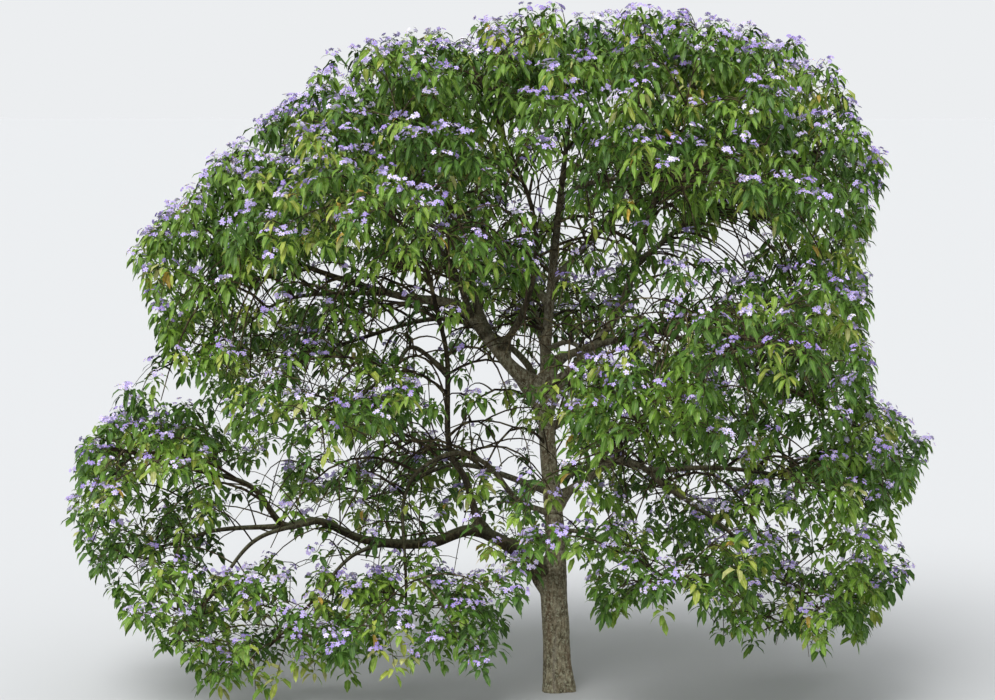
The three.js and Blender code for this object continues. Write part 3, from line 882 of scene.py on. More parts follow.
def shootsAlong(limb, dicer):
    for k, foot, heading in feetAlong(limb, shoots, dicer):
        angle = goldenAngle * k + dicer.uniform(-shoots["turnScatter"], shoots["turnScatter"])
        away = unit(roundAxis(heading, -angle))
        reach = unit(lean(away, heading, (1, *shoots["ahead"])))
        length = dicer.uniform(*shoots["lengths"])
        knee = foot + reach * shoots["knee"][0] * length + up * shoots["knee"][1] * length
        end = foot + reach * length - up * dicer.uniform(*shoots["droops"]) * length
        shoot = bezierOver(foot, knee, end)
        last = addTwig(shoot, *twigKinds["shoot"])
        if last:
            spursAlong(shoot, last, shoots, dicer.random(), dicer)


# Short leafy sprouts round the lowest fork: their limb, and the stretch of it that has them
sprouts = {
    "places": (("trunk", 0.15, 0.36), ("low_left_bough", 0.05, 0.55)),
    "number": 7,
    "rise": 0.3,
    "lengths": (0.35, 0.7),
    "width": 0.5,
}


def sproutsAtFork(dicer):
    for name, first, last in sprouts["places"]:
        course = limbs[name]["course"]
        for share in np.linspace(first, last, sprouts["number"]):
            turn = dicer.uniform(0, 2 * math.pi)
            reach = unit(roundAxis(course.headingAt(share), -turn) + up * sprouts["rise"])
            length = dicer.uniform(*sprouts["lengths"])
            twist = dicer.uniform(-leafy["twist"], leafy["twist"])
            spray = sprayOf(course.at(share), reach, length, twist, sprouts["width"])
            leafySpray(spray, leafy["fineTufts"], dicer)


# Thin branches that arch over and hang, bare but for their end. Others leave their backs.
arches = {
    "part": 0.7,
    "from": 0.3,
    "stretch": 0.7,
    "spacing": 0.26,
    "lowest": 1.9,
    "lengths": (0.8, 1.8),
    "spread": (1, 0.7),
    "ahead": 0.7,
    "knee": 0.6,
    "rises": (0.25, 0.5),
    "reaches": (0.75, 1),
    "droops": (0.1, 0.55),
    "tufts": 2,
    "first": 0.62,
    "step": 0,
    "scatter": 0.36,
    "rise": 0.3,
    "spurLengths": (0.06, 0.2),
    "backPlaces": (0.25, 0.6),
    "backTurns": (0.6, 1.2),
    "backLengths": (0.5, 0.8),
}


def growArch(foot, away, length, kind, tone, dicer):
    flat = unit(away * (1, 1, 0) + 1e-6)
    knee = foot + flat * arches["knee"] * length + up * dicer.uniform(*arches["rises"]) * length
    end = foot + flat * length * dicer.uniform(*arches["reaches"])
    end -= up * dicer.uniform(*arches["droops"]) * length
    arch = bezierOver(foot, knee, end)
    last = addTwig(arch, *twigKinds[kind])
    if not last:
        return
    spursAlong(arch, last, arches, tone, dicer)
    for hand in (-1, 1) if kind == "arch" else ():
        share = last * dicer.uniform(*arches["backPlaces"])
        heading = arch.headingAt(share)
        side = unit(np.cross(heading, up)) * hand
        away = heading + side * dicer.uniform(*arches["backTurns"])
        shorter = length * dicer.uniform(*arches["backLengths"])
        growArch(arch.at(share), away, shorter, "archOnArch", tone, dicer)


def archesAlong(limb, dicer):
    for _, foot, heading in feetAlong(limb, arches, dicer):
        turn = dicer.uniform(0, 2 * math.pi)
        away = roundAxis(heading, -turn, spread=arches["spread"]) + heading * arches["ahead"]
        length = dicer.uniform(*arches["lengths"])
        growArch(foot, unit(away), length, "arch", dicer.random(), dicer)


# Close parallel twigs that hang bare from the upper right bough towards the viewer's right
fan = {
    "bough": "upper_right_bough",
    "feet": (0.12, 0.72),
    "twigs": 22,
    "reach": (0.72, -0.5, -0.5),  # from foot to end
    "lengths": (0.85, 1.3),
    "scatter": 0.05,
    "knee": (0.6, 0.6, 0),
    "rises": (0.02, 0.14),
}


def growFan(dicer):
    course = limbs[fan["bough"]]["course"]
    for share in np.linspace(*fan["feet"], fan["twigs"]):
        foot = course.at(share)
        reach = np.array(fan["reach"]) * dicer.uniform(*fan["lengths"])
        reach += dicer.normal(0, fan["scatter"], 3)
        knee = foot + reach * fan["knee"] + up * dicer.uniform(*fan["rises"])
        twig = bezierOver(foot, knee, foot + reach)
        last = addTwig(twig, *twigKinds["fan"])
        if last:
            axis = reach * 0.5 + up * spur["endRise"]
            addTuft(twig.at(last), axis, dicer.random(), dicer.random())


# The crown's outer face, and the branches that fill its gaps
dome = {
    "front": 3.25,
    "back": 3.62,
    "fullness": 0.8,
    "samples": 14000,
    "face": (0.83, 0.985),  # from and to, where 1 is the crown's outer face
    "faceDepth": 0.28,
    "clearances": (0.27, 0.46),  # a gap has no tuft nearer than this; the second in openings
    "boughMarks": (0.35, 1, 12),  # places along each bough that a branch can leave from
    "downhill": 0.6,  # how far a root counts as further off, for each metre above the gap
    "longest": 1.9,
    "girths": (0.013, 0.005),  # at the foot, and more for each metre
    "tipGirth": 0.007,
    "detail": (5, 8),  # sides and rings
    "sprays": 3,
    "sprayFeet": (0.97, 0.2),
    "lengthScatter": (0.8, 1.1),
    "lowest": 0.75,
    "seed": 31,
}


def shareOut(points):
    # 1 on the crown's outer face and 0 on its axis
    left, right = crownSides(points[:, 2])
    widest = (np.array(crownReach["left"]) + crownReach["right"]).max()
    fullness = ((left + right) / widest) ** dome["fullness"]
    wide = np.where(points[:, 0] < 0, left, right)
    deep = np.where(points[:, 1] < 0, dome["front"], dome["back"]) * fullness
    above = points[:, 2] > crownReach["heights"][-1]
    return np.hypot(points[:, 0] / wide, points[:, 1] / deep) + above * 10


def fillGaps():
    dicer = np.random.default_rng(dome["seed"])
    points = dicer.uniform(boxLow, boxHigh, (dome["samples"], 3))
    share = shareOut(points)
    outside = shareOut(points + up * dome["faceDepth"]) > 1
    inner, outer = dome["face"]
    outermost = (share < outer) & ((share > inner) | outside) & (points[:, 2] > dome["lowest"])
    shares = np.linspace(*dome["boughMarks"])
    marks = np.vstack([woodMarks, *(limb["course"].at(shares) for limb in limbs.values())])
    grown = 0
    for point in points[outermost]:
        if opened(point, openness["unfilled"]) or not withinReach(point):
            continue
        gaps = np.linalg.norm(tuftPlaces[:len(tufts)] - point, axis=1)
        if gaps.min() < dome["clearances"][opened(point, openness["thin"])]:
            continue
        apart = np.linalg.norm(marks - point, axis=1)
        apart += dome["downhill"] * np.maximum(0, marks[:, 2] - point[2])
        root = marks[apart.argmin()]
        length = np.linalg.norm(point - root)
        if length > dome["longest"]:
            continue
        branch = bezierOver(root, kneeOver(root, point, fine["rise"]), point)
        footGirth = dome["girths"][0] + dome["girths"][1] * length
        last = addTwig(branch, (footGirth, dome["tipGirth"]), *dome["detail"])
        if not last:
            continue
        grown += 1
        for k in range(dome["sprays"]):
            foot = branch.at(last * (dome["sprayFeet"][0] - dome["sprayFeet"][1] * k))
            fineSpray(foot, branch.headingAt(1.0), k, dome["lengthScatter"], dicer)
    return grown


def growFoliage():
    dicer = np.random.default_rng(leafy["seed"])
    grown = 0
    for index, limb in enumerate(limbs.values()):
        grown += dressMass(index, limb, dicer)
        shootsAlong(limb, dicer)
        archesAlong(limb, dicer)
    sproutsAtFork(dicer)
    growFan(dicer)
    print("sprays of the source:", grown)
    print("branches into gaps:", fillGaps())


growFoliage()
print("twigs:", len(twigs), "tufts:", len(tufts))


# Meshes from arrays, for what repeats thousands of times
def meshFromArrays(name, points, faceGroups, flat=None):
    mesh = bpy.data.meshes.new(name)
    mesh.vertices.add(len(points))
    mesh.vertices.foreach_set("co", np.asarray(points, np.float32).ravel())
    corners = np.concatenate([group.ravel() for group in faceGroups]).astype(np.int32)
    sizes = np.concatenate([np.full(len(group), group.shape[1]) for group in faceGroups])
    mesh.loops.add(len(corners))
    mesh.loops.foreach_set("vertex_index", corners)
    mesh.polygons.add(len(sizes))
    starts = np.concatenate(([0], np.cumsum(sizes)[:-1])).astype(np.int32)
    mesh.polygons.foreach_set("loop_start", starts)
    if flat is not None:  # a place in the flat for every vertex
        layer = mesh.uv_layers.new(name="UVMap")
        layer.data.foreach_set("uv", np.asarray(flat, np.float32)[corners].ravel())
    mesh.update(calc_edges=True)
    mesh.validate()
    return mesh


def repeatedMesh(name, points, faces, flat=None):
    # The same few faces for every copy. points is (copies, corners, 3)
    copies, corners, _ = points.shape
    offsets = (np.arange(copies) * corners)[:, None, None]
    allFaces = (faces[None] + offsets).reshape(-1, faces.shape[1])
    flats = np.tile(flat, (copies, 1)) if flat is not None else None
    return meshFromArrays(name, points.reshape(-1, 3), [allFaces], flats)


foliageNodes = [name.removesuffix("_bough") + "_foliage" for name in limbs]


def showMesh(name, mesh, material, slot, nodes=foliageNodes, smooth=False):
    mesh.materials.clear()
    mesh.materials.append(material)
    mesh.polygons.foreach_set("use_smooth", np.full(len(mesh.polygons), smooth))
    piece = bpy.data.objects.new(name, mesh)
    bpy.context.collection.objects.link(piece)
    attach(piece, "root")
    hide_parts(*nodes)
    print(name, "triangles:", sum(len(face.vertices) - 2 for face in mesh.polygons))


steepest = 0.9  # of a heading along one axis, past which another one gives the side


def tubeArrays(paths, radii, sides):
    # Closed tubes along many paths at once: paths (count, rings, 3), radii (count, rings)
    count, rings, _ = paths.shape
    headings = unit(np.gradient(paths, axis=1))
    steep = np.abs(headings[:, 0, 2]) > steepest
    reference = np.where(steep[:, None], (1.0, 0.0, 0.0), (0.0, 0.0, 1.0))
    across = unit(np.cross(headings[:, 0], reference))
    turns = np.arange(sides) * 2 * math.pi / sides
    points = np.empty((count, rings, sides, 3))
    for ring in range(rings):
        across = squareTo(headings[:, ring], across)
        over = np.cross(headings[:, ring], across)
        spoke = turned(across[:, None], over[:, None], turns)
        points[:, ring] = paths[:, ring, None] + spoke * radii[:, ring, None, None]
    index = np.arange(count * rings * sides).reshape(count, rings, sides)
    after = np.roll(index, -1, axis=2)
    walls = np.stack([index[:, :-1], after[:, :-1], after[:, 1:], index[:, 1:]], axis=-1)
    caps = [index[:, 0, ::-1], index[:, -1]]
    return points.reshape(-1, 3), [walls.reshape(-1, 4), *caps]


def twigMesh(name, sticks):
    # Sticks with the same number of rings and sides are built together
    kinds = {}
    for path, foot, tip, sides in sticks:
        kinds.setdefault((len(path), sides), []).append((path, foot, tip))
    allPoints, allFaces, offset = [], {}, 0
    for (rings, sides), group in kinds.items():
        paths, feet, tips = (np.array(values) for values in zip(*group))
        radii = feet[:, None] + (tips - feet)[:, None] * np.linspace(0, 1, rings)
        points, faces = tubeArrays(paths, radii, sides)
        allPoints.append(points)
        for face in faces:
            allFaces.setdefault(face.shape[1], []).append(face + offset)
        offset += len(points)
    faces = [np.vstack(group) for group in allFaces.values()]
    return meshFromArrays(name, np.vstack(allPoints), faces)


# Materials
def linearColour(code):
    channels = [int(code[k:k + 2], 16) / 255 for k in (0, 2, 4)]
    linear = [c / 12.92 if c <= 0.04045 else ((c + 0.055) / 1.055) ** 2.4 for c in channels]
    return (*linear, 1.0)


def addNode(tree, kind, inputs=(), stops=(), **settings):
    # One node. An input takes another node's output or a value, a colour ramp has stops, and
    # a setting is an attribute of the node or, failing that, one of its inputs.
    node = tree.nodes.new(kind)
    for key, value in settings.items():
        if hasattr(node, key):
            setattr(node, key, value)
        else:
            node.inputs[key].default_value = value
    for socket, value in dict(inputs).items():
        if isinstance(value, bpy.types.NodeSocket):
            tree.links.new(value, node.inputs[socket])
        else:
            node.inputs[socket].default_value = value
    if stops:
        elements = node.color_ramp.elements
        while len(elements) < len(stops):
            elements.new(0.5)
        for element, (place, code) in zip(elements, stops):
            element.position = place
            element.color = linearColour(code)
    return node


def newMaterial(name, roughness, specular):
    material = bpy.data.materials.new(name)
    material.use_nodes = True
    tree = material.node_tree
    shader = tree.nodes["Principled BSDF"]
    shader.inputs["Roughness"].default_value = roughness
    shader.inputs["Specular IOR Level"].default_value = specular
    return material, tree, shader


# Sockets of a mix node that mixes colours
mixShare, mixFirst, mixSecond, mixResult = 0, 6, 7, 2


def mottle(tree, across, detail, roughness=0.5, rise=1.0):
    # Patches in the object's own space, so many millimetres across. A rise under 1 draws
    # them out upwards.
    place = addNode(tree, "ShaderNodeTexCoord").outputs["Object"]
    laid = addNode(tree, "ShaderNodeMapping", {"Vector": place}, Scale=(1, 1, rise))
    patches = addNode(tree, "ShaderNodeTexNoise", {"Vector": laid.outputs["Vector"]},
                      Scale=1000 / across, Detail=detail, Roughness=roughness)
    return patches.outputs["Fac"]


barkLook = {
    "patterns": {  # millimetres across, detail, roughness, and the scale upwards as a share
        "streaks": (26, 6.0, 0.7, 0.35),
        "crusts": (30, 5.0, 0.8),
        "stains": (330, 7.0, 0.7),
        "runs": (75, 3.0, 0.5, 0.1),
    },
    "fleck": 13,  # millimetres across
    "masks": {  # a layer's pattern, and how much of the layer shows along that
        "stain": ("stains", (0.52, "000000"), (0.62, "c8c8c8")),
        "rust": ("runs", (0.57, "000000"), (0.68, "9a9a9a")),
        "smooth": ("runs", (0.33, "9a9a9a"), (0.44, "000000")),
        "lichen": ("crusts", (0.51, "000000"), (0.6, "e0e0e0")),
        "fleck": ("flecks", (0.12, "999999"), (0.25, "000000")),
        "moss": ("facing", (0.0, "161616"), (0.75, "b4b4b4")),
    },
    "streakStops": (0.3, 0.42, 0.54, 0.7),
    "streakTones": {
        "trunk": ("332c1f", "5f5642", "8b816a", "b3aa90"),
        # the boughs' tones: dark bark, made darker still as painted shade for the boughs inside the
        # crown
        "bough": ("0f0b06", "1e180f", "362d1d", "5e533b"),
    },
    "layers": {  # in order, over the streaks
        "trunk": {
            "stain": "3a3123", "rust": "6b4632", "smooth": "938c83", "lichen": "b9b99e",
            "fleck": "332c1f",
        },
        "bough": {
            "stain": "151009", "upperLichen": "85876b", "fleck": "0f0b06", "moss": "74785a",
        },
    },
    "bump": {"Strength": 0.8, "Distance": 0.014},
}


def barkMaterial():
    # Living bark: matt cork skin, streaked along the limb, with pale lichen in small patches
    # and large dark stains. It darkens from the trunk to the boughs, partly dark bark and partly
    # painted shade, with a ring of painted shadow at the lowest fork; on the boughs lichen and moss
    # keep to the upper side.
    material, tree, shader = newMaterial("lichened_bark", roughness=0.93, specular=0.2)
    sources = {name: mottle(tree, *pattern) for name, pattern in barkLook["patterns"].items()}
    place = addNode(tree, "ShaderNodeTexCoord").outputs["Object"]
    scale = 1000 / barkLook["fleck"]
    flecks = addNode(tree, "ShaderNodeTexVoronoi", {"Vector": place}, Scale=scale)
    normal = addNode(tree, "ShaderNodeNewGeometry").outputs["Normal"]
    sources["flecks"] = flecks.outputs["Distance"]
    sources["facing"] = addNode(tree, "ShaderNodeSeparateXYZ", {"Vector": normal}).outputs["Z"]
    masks = {}
    for name, (source, *stops) in barkLook["masks"].items():
        mask = addNode(tree, "ShaderNodeValToRGB", {"Fac": sources[source]}, stops)
        masks[name] = mask.outputs["Color"]
    upper = addNode(tree, "ShaderNodeMix", {
        mixShare: 1.0, mixFirst: masks["lichen"], mixSecond: masks["moss"],
    }, data_type="RGBA", blend_type="MULTIPLY")
    masks["upperLichen"] = upper.outputs[mixResult]
    shades = []
    for limb, tones in barkLook["streakTones"].items():
        stops = list(zip(barkLook["streakStops"], tones))
        streaks = addNode(tree, "ShaderNodeValToRGB", {"Fac": sources["streaks"]}, stops)
        base = streaks.outputs["Color"]
        for layer, tone in barkLook["layers"][limb].items():
            covered = addNode(tree, "ShaderNodeMix", {
                mixShare: masks[layer], mixFirst: base, mixSecond: linearColour(tone),
            }, data_type="RGBA")
            base = covered.outputs[mixResult]
        shades.append(base)
    # The bark's darkness from the mesh, painted shade included, chooses between the trunk's tones
    # and the boughs'
    bough = addNode(tree, "ShaderNodeAttribute", attribute_name="bough").outputs["Fac"]
    both = addNode(tree, "ShaderNodeMix", {
        mixShare: bough, mixFirst: shades[0], mixSecond: shades[1],
    }, data_type="RGBA")
    tree.links.new(both.outputs[mixResult], shader.inputs["Base Color"])
    bump = addNode(tree, "ShaderNodeBump", {"Height": sources["streaks"]}, **barkLook["bump"])
    tree.links.new(bump.outputs["Normal"], shader.inputs["Normal"])
    return material


skins = {  # roughness, specular, millimetres across a patch, detail and tones
    # Young wood: thin brown-green skin, a little smoother than bark
    "young_brown_twig": (
        0.75, 0.3, 143, 4.0, ((0.35, "2a2115"), (0.55, "453a25"), (0.75, "625a36")),
    ),
    # Thin branches: dark smooth bark with paler grey-green film in patches
    "dark_branch_bark": (
        0.85, 0.25, 91, 5.0, ((0.35, "1d160d"), (0.5, "3a2f1f"), (0.66, "6d6547")),
    ),
    # Fleshy flower stalk: pale green, faintly downy, darker where it turns woody
    "green_flower_stalk": (
        0.7, 0.3, 11.1, 2.0, ((0.35, "66783e"), (0.5, "75884a"), (0.65, "86985a")),
    ),
    # The cone of anthers: smooth waxy yellow, dusted with paler pollen
    "yellow_anthers": (
        0.5, 0.5, 3.85, 2.0, ((0.35, "cfa42c"), (0.5, "e0b93a"), (0.65, "efd06a")),
    ),
}


def skinMaterial(name):
    roughness, specular, across, detail, tones = skins[name]
    material, tree, shader = newMaterial(name, roughness, specular)
    patches = mottle(tree, across, detail)
    base = addNode(tree, "ShaderNodeValToRGB", {"Fac": patches}, tones)
    tree.links.new(base.outputs["Color"], shader.inputs["Base Color"])
    return material


leafTones = {  # name: middle of the blade, its pale midrib and the painted highlight on its rim, and the share of the tufts
    "deep_green_leaves": ("436a1e", "67873a", 0.23),
    "dark_green_leaves": ("567e24", "7e9c46", 0.29),
    "mid_green_leaves": ("6d942b", "95ad53", 0.28),
    "fresh_green_leaves": ("86a738", "abbe65", 0.14),
    "yellow_green_leaves": ("a0af42", "bec670", 0.045),
    "young_pale_leaves": ("b0b468", "c9cb90", 0.015),
    "turning_yellow_leaves": ("c3a23e", "d6bf6c", 0.003),
}
leafLook = {
    "ribAndLitRim": (  # from the pale midrib to the painted highlight on the rim
        (0.02, "ffffff"), (0.07, "000000"), (0.4, "000000"), (0.5, "777777"),
    ),
    "mottle": (41.67, 2.0),  # millimetres across, and detail
    "light": ((0.3, "c8c8c8"), (0.7, "ffffff")),
}


def leafMaterial(name, blade, ribAndLitRimTone):
    # Waxy broad leaf: soft gloss, a pale midrib, a painted highlight along the rim, and a slight
    # mottle
    material, tree, shader = newMaterial(name, roughness=0.48, specular=0.35)
    flat = addNode(tree, "ShaderNodeTexCoord").outputs["UV"]
    split = addNode(tree, "ShaderNodeSeparateXYZ", {"Vector": flat})
    across = {0: split.outputs["X"], 1: 0.5}  # the midrib lies halfway
    fromRib = addNode(tree, "ShaderNodeMath", across, operation="SUBTRACT").outputs["Value"]
    away = addNode(tree, "ShaderNodeMath", {0: fromRib}, operation="ABSOLUTE").outputs["Value"]
    ribAndLitRim = addNode(tree, "ShaderNodeValToRGB", {"Fac": away}, leafLook["ribAndLitRim"])
    withRibAndLitRim = addNode(tree, "ShaderNodeMix", {
        mixShare: ribAndLitRim.outputs["Color"],
        mixFirst: linearColour(blade),
        mixSecond: linearColour(ribAndLitRimTone),
    }, data_type="RGBA")
    patches = mottle(tree, *leafLook["mottle"])
    light = addNode(tree, "ShaderNodeValToRGB", {"Fac": patches}, leafLook["light"])
    base = addNode(tree, "ShaderNodeMix", {
        mixShare: 1.0,
        mixFirst: withRibAndLitRim.outputs[mixResult],
        mixSecond: light.outputs["Color"],
    }, data_type="RGBA", blend_type="MULTIPLY")
    tree.links.new(base.outputs[mixResult], shader.inputs["Base Color"])
    return material


petalTones = {  # name: rim, middle and share of the flowers
    "deep_lilac_petals": ("a18dd2", "b8a8e4", 0.28),
    "lilac_petals": ("beafe4", "d0c5f0", 0.38),
    "pale_lilac_petals": ("d9d0f2", "e8e1f9", 0.26),
    "faded_white_petals": ("ebe6f6", "f6f3fb", 0.08),
}
petalMiddle, petalRim = 0.15, 0.8  # where the rim's tone begins and is full


def petalMaterial(name, rim, middle):
    # Thin crumpled corolla: matt, paler in the middle
    material, tree, shader = newMaterial(name, roughness=0.6, specular=0.3)
    flat = addNode(tree, "ShaderNodeTexCoord").outputs["UV"]
    outward = addNode(tree, "ShaderNodeSeparateXYZ", {"Vector": flat}).outputs["X"]
    stops = ((petalMiddle, middle), (petalRim, rim))
    base = addNode(tree, "ShaderNodeValToRGB", {"Fac": outward}, stops)
    tree.links.new(base.outputs["Color"], shader.inputs["Base Color"])
    return material


def chooseTones(values, table):
    edges = np.cumsum([entry[-1] for entry in table.values()])
    return np.minimum(np.searchsorted(edges / edges[-1], values), len(table) - 1)


def wholeAbove(points, lowest, margin=0.004):
    # Which copies lie whole within the part's own box and above a height
    inside = (points > boxLow + margin) & (points < boxHigh - margin)
    return inside.all(axis=(1, 2)) & (points[:, :, 2].min(1) > lowest)


# Leaves: a few faces each, folded along the midrib and bent down
leafShape = {
    "low": {"lengths": (0.112, 0.168), "widthShares": (0.36, 0.46), "droops": (0.4, 1.3)},
    "high": {"lengths": (0.13, 0.186), "widthShares": (0.28, 0.36), "droops": (0.8, 1.75)},
    "levels": (1.8, 4.2),  # metres above ground, between which leaves turn from low to high ones
    "perTuft": (6, 11),
    "tuftDepth": 0.075,  # the stretch of twig that a tuft's leaves stand on
    "sideways": (0.31, 0.95, 0.05),
    "bearingScatter": 0.25,
    "slants": (42, 52, 9),  # degrees from the twig: at its end, more at its foot, and scatter
    "lengthScatter": 0.25,
    "firstLength": 0.7,  # of a leaf's length, for the youngest one
    "deepDroop": 0.35,  # more droop at the tuft's foot
    "bends": (0.3, 0.85, 1.5),  # how much of its droop each piece of the midrib has
    "pieces": (0.26, 0.4, 0.34),  # of the midrib's length
    "widths": (0.86, 0.8),  # at the midrib's two inner points
    "tilt": 0.28,
    "fold": 0.26,
    "foldScatter": (0.4, 1.6),
    "stalk": 0.018,
    "toneScatter": 0.1,
    "lowest": 0.03,
    "seed": 11,
}
leafFaces = np.array([
    (0, 5, 1), (0, 1, 4), (1, 5, 7), (1, 7, 2), (1, 2, 6), (1, 6, 4), (2, 7, 3), (2, 3, 6),
])
leafFlat = np.array([  # the midrib, and then the rim, in the flat
    (0.5, 0), (0.5, 0.26), (0.5, 0.66), (0.5, 1),
    (0.06, 0.26), (0.94, 0.26), (0.1, 0.66), (0.9, 0.66),
])


def growLeaves(places, axes, tones):
    dicer = np.random.default_rng(leafShape["seed"])
    perTuft = dicer.integers(*leafShape["perTuft"], len(places))
    tuft = np.repeat(np.arange(len(places)), perTuft)
    rank = np.concatenate([np.arange(n) for n in perTuft])
    depth = (rank + dicer.random(len(rank))) / perTuft[tuft]  # 0 at the twig's end
    count = len(tuft)
    axis = axes[tuft]
    bearing = goldenAngle * rank + dicer.uniform(0, 2 * math.pi, len(places))[tuft]
    bearing += dicer.normal(0, leafShape["bearingScatter"], count)
    atEnd, deeper, scatter = leafShape["slants"]
    slant = np.radians(atEnd + deeper * depth + dicer.normal(0, scatter, count))
    start = turned(axis, roundAxis(axis, bearing, leafShape["sideways"]), slant)
    height = np.interp(places[tuft][:, 2], leafShape["levels"], (0, 1))

    def byHeight(key, shares):
        low, high = (np.interp(shares, (0, 1), leafShape[level][key]) for level in ("low", "high"))
        return low + (high - low) * height

    scatter = dicer.normal(0, leafShape["lengthScatter"], count)
    length = byHeight("lengths", np.clip(depth + scatter, 0, 1))
    length *= np.where(rank == 0, leafShape["firstLength"], 1)
    droop = byHeight("droops", dicer.random(count)) + leafShape["deepDroop"] * depth
    foot = places[tuft] - axis * (depth * leafShape["tuftDepth"])[:, None]
    runs = [unit(start - up * (droop * bend)[:, None]) for bend in leafShape["bends"]]
    side = unit(np.cross(runs[1], up) + dicer.normal(0, leafShape["tilt"], (count, 3)))
    ribs = [foot + start * leafShape["stalk"]]
    for run, share in zip(runs, leafShape["pieces"]):
        ribs.append(ribs[-1] + run * (length * share)[:, None])
    half = (length * byHeight("widthShares", dicer.random(count)) / 2)[:, None]
    fold = leafShape["fold"] * dicer.uniform(*leafShape["foldScatter"], count)[:, None]
    corners = list(ribs)
    for rib, run, share in zip(ribs[1:], runs, leafShape["widths"]):
        away = squareTo(run, side)
        raised = np.cross(away, run) * fold * share
        corners += [rib + (raised - away * share) * half, rib + (raised + away * share) * half]
    values = np.abs(tones[tuft] + dicer.normal(0, leafShape["toneScatter"], count))
    values = 1 - np.abs(1 - values)  # what the scatter sends past either end comes back
    return np.stack(corners, axis=1), chooseTones(values, leafTones)


def dressLeaves():
    points, kinds = growLeaves(*(np.array(values) for values in zip(*tufts)))
    kept = wholeAbove(points, leafShape["lowest"])
    points, kinds = points[kept], kinds[kept]
    for kind, (name, (blade, ribAndLitRimTone, _)) in enumerate(leafTones.items()):
        mesh = repeatedMesh(name, points[kinds == kind], leafFaces, leafFlat)
        showMesh(name, mesh, leafMaterial(name, blade, ribAndLitRimTone), "foliage")
    print("leaves:", len(points))


dressLeaves()

# Which tufts flower: those in the open, more of them high up and to the left, and some round
# the middle, where light falls in through the openings
flowering = {
    "share": 0.345,  # of all tufts
    "axis": (-0.4, 0.1, 0.0),  # of the crown
    "outward": 0.55,
    "upward": 0.85,
    "probe": 0.4,  # how far out neighbours are counted
    "probeRadius": 0.36,
    "crowd": 5.0,
    "rise": (3.5, 3),  # metres above ground where it begins to count, and until it counts in full
    "leftEnd": 3,  # metres to the left, at which that counts in full
    "open": 0.5,
    "left": -0.04,
    "high": 0.1,
    "highLeft": 0.36,
    "middle": (0.4, 3.4),  # across and up
    "middleSpread": (1.2, 1.0),
    "middleShare": 0.14,
    "chance": 0.7,
}


def exposureOf(places):
    # How open the crown is just above and outside each tuft: 1 at the rim, 0 deep inside
    tree = kdtree.KDTree(len(places))
    for k, place in enumerate(places):
        tree.insert(place, k)
    tree.balance()
    outward = unit((places - flowering["axis"]) * (1, 1, 0)) * flowering["outward"]
    probes = places + (outward + up * flowering["upward"]) * flowering["probe"]
    crowd = np.array([len(tree.find_range(probe, flowering["probeRadius"])) for probe in probes])
    return np.exp(-crowd / flowering["crowd"])


def floweringTufts(dicer):
    places, axes, _ = (np.array(values) for values in zip(*tufts))
    lowest, rise = flowering["rise"]
    height = np.clip((places[:, 2] - lowest) / rise, 0, 1)
    leftward = np.clip(-places[:, 0] / flowering["leftEnd"], 0, 1)
    high = flowering["high"] + flowering["highLeft"] * leftward
    wanted = exposureOf(places) * (flowering["open"] + flowering["left"] * leftward + high * height)
    fromMiddle = (places[:, (0, 2)] - flowering["middle"]) / flowering["middleSpread"]
    wanted += flowering["middleShare"] * np.exp(-(fromMiddle ** 2).sum(1))
    wanted += dicer.uniform(0, flowering["chance"], len(places))
    chosen = wanted > np.quantile(wanted, 1 - flowering["share"])
    return places[chosen], axes[chosen]


# Flowers: five blunt lobes round a yellow eye, in flat clusters on top of the tufts
flowerShape = {
    "radii": (0.021, 0.03),
    "perCluster": (5, 9),
    "clusterRadius": 0.092,
    "fromCentre": 0.03,  # of the cluster's area, that its middle keeps free
    "clusterRise": 0.6,
    "lift": 0.055,  # above the tuft
    "liftScatter": (0.6, 1.3),
    "facing": (0.9, 0.8, 0.35),  # along the cluster's axis, outwards, and scatter
    "toneMix": (0.7, 0.4, -0.05),  # of the cluster's own, of the flower's own, and a shift
    "sideways": (0.2, 0.97, 0.1),
    "lobes": 5,
    "lobeTurns": (-0.24, 0.24, 0.5),  # of a lobe's turn: its two corners, and the notch after it
    "lobeReach": (1.0, 1.0, 0.5),
    "lobeRise": (-0.1, -0.1, 0.12),
    "middleRise": -0.16,
    "petalSide": (0.13, 0.4, 0.9),
    "eyeRise": (-0.14, 0.3),  # of its foot and tip, in radii like its girth
    "eyeGirth": 0.34,
    "stalkGirth": 0.004,  # at the foot
    "lowest": 0.05,
    "seed": 23,
}
lobes = flowerShape["lobes"]
rimTurns = np.add.outer(np.arange(lobes), flowerShape["lobeTurns"]).ravel()
rimReach, rimRise = (np.tile(flowerShape[key], lobes) for key in ("lobeReach", "lobeRise"))
rim = len(rimTurns)
petalFaces = np.array([(0, 1 + k, 1 + (k + 1) % rim) for k in range(rim)])
petalFlat = np.vstack([(0.0, 0.5), np.column_stack([rimReach, np.full(rim, 0.5)])])
coneFaces = np.array([(0, 1, 2), (0, 2, 3), (0, 3, 1), (3, 2, 1)])


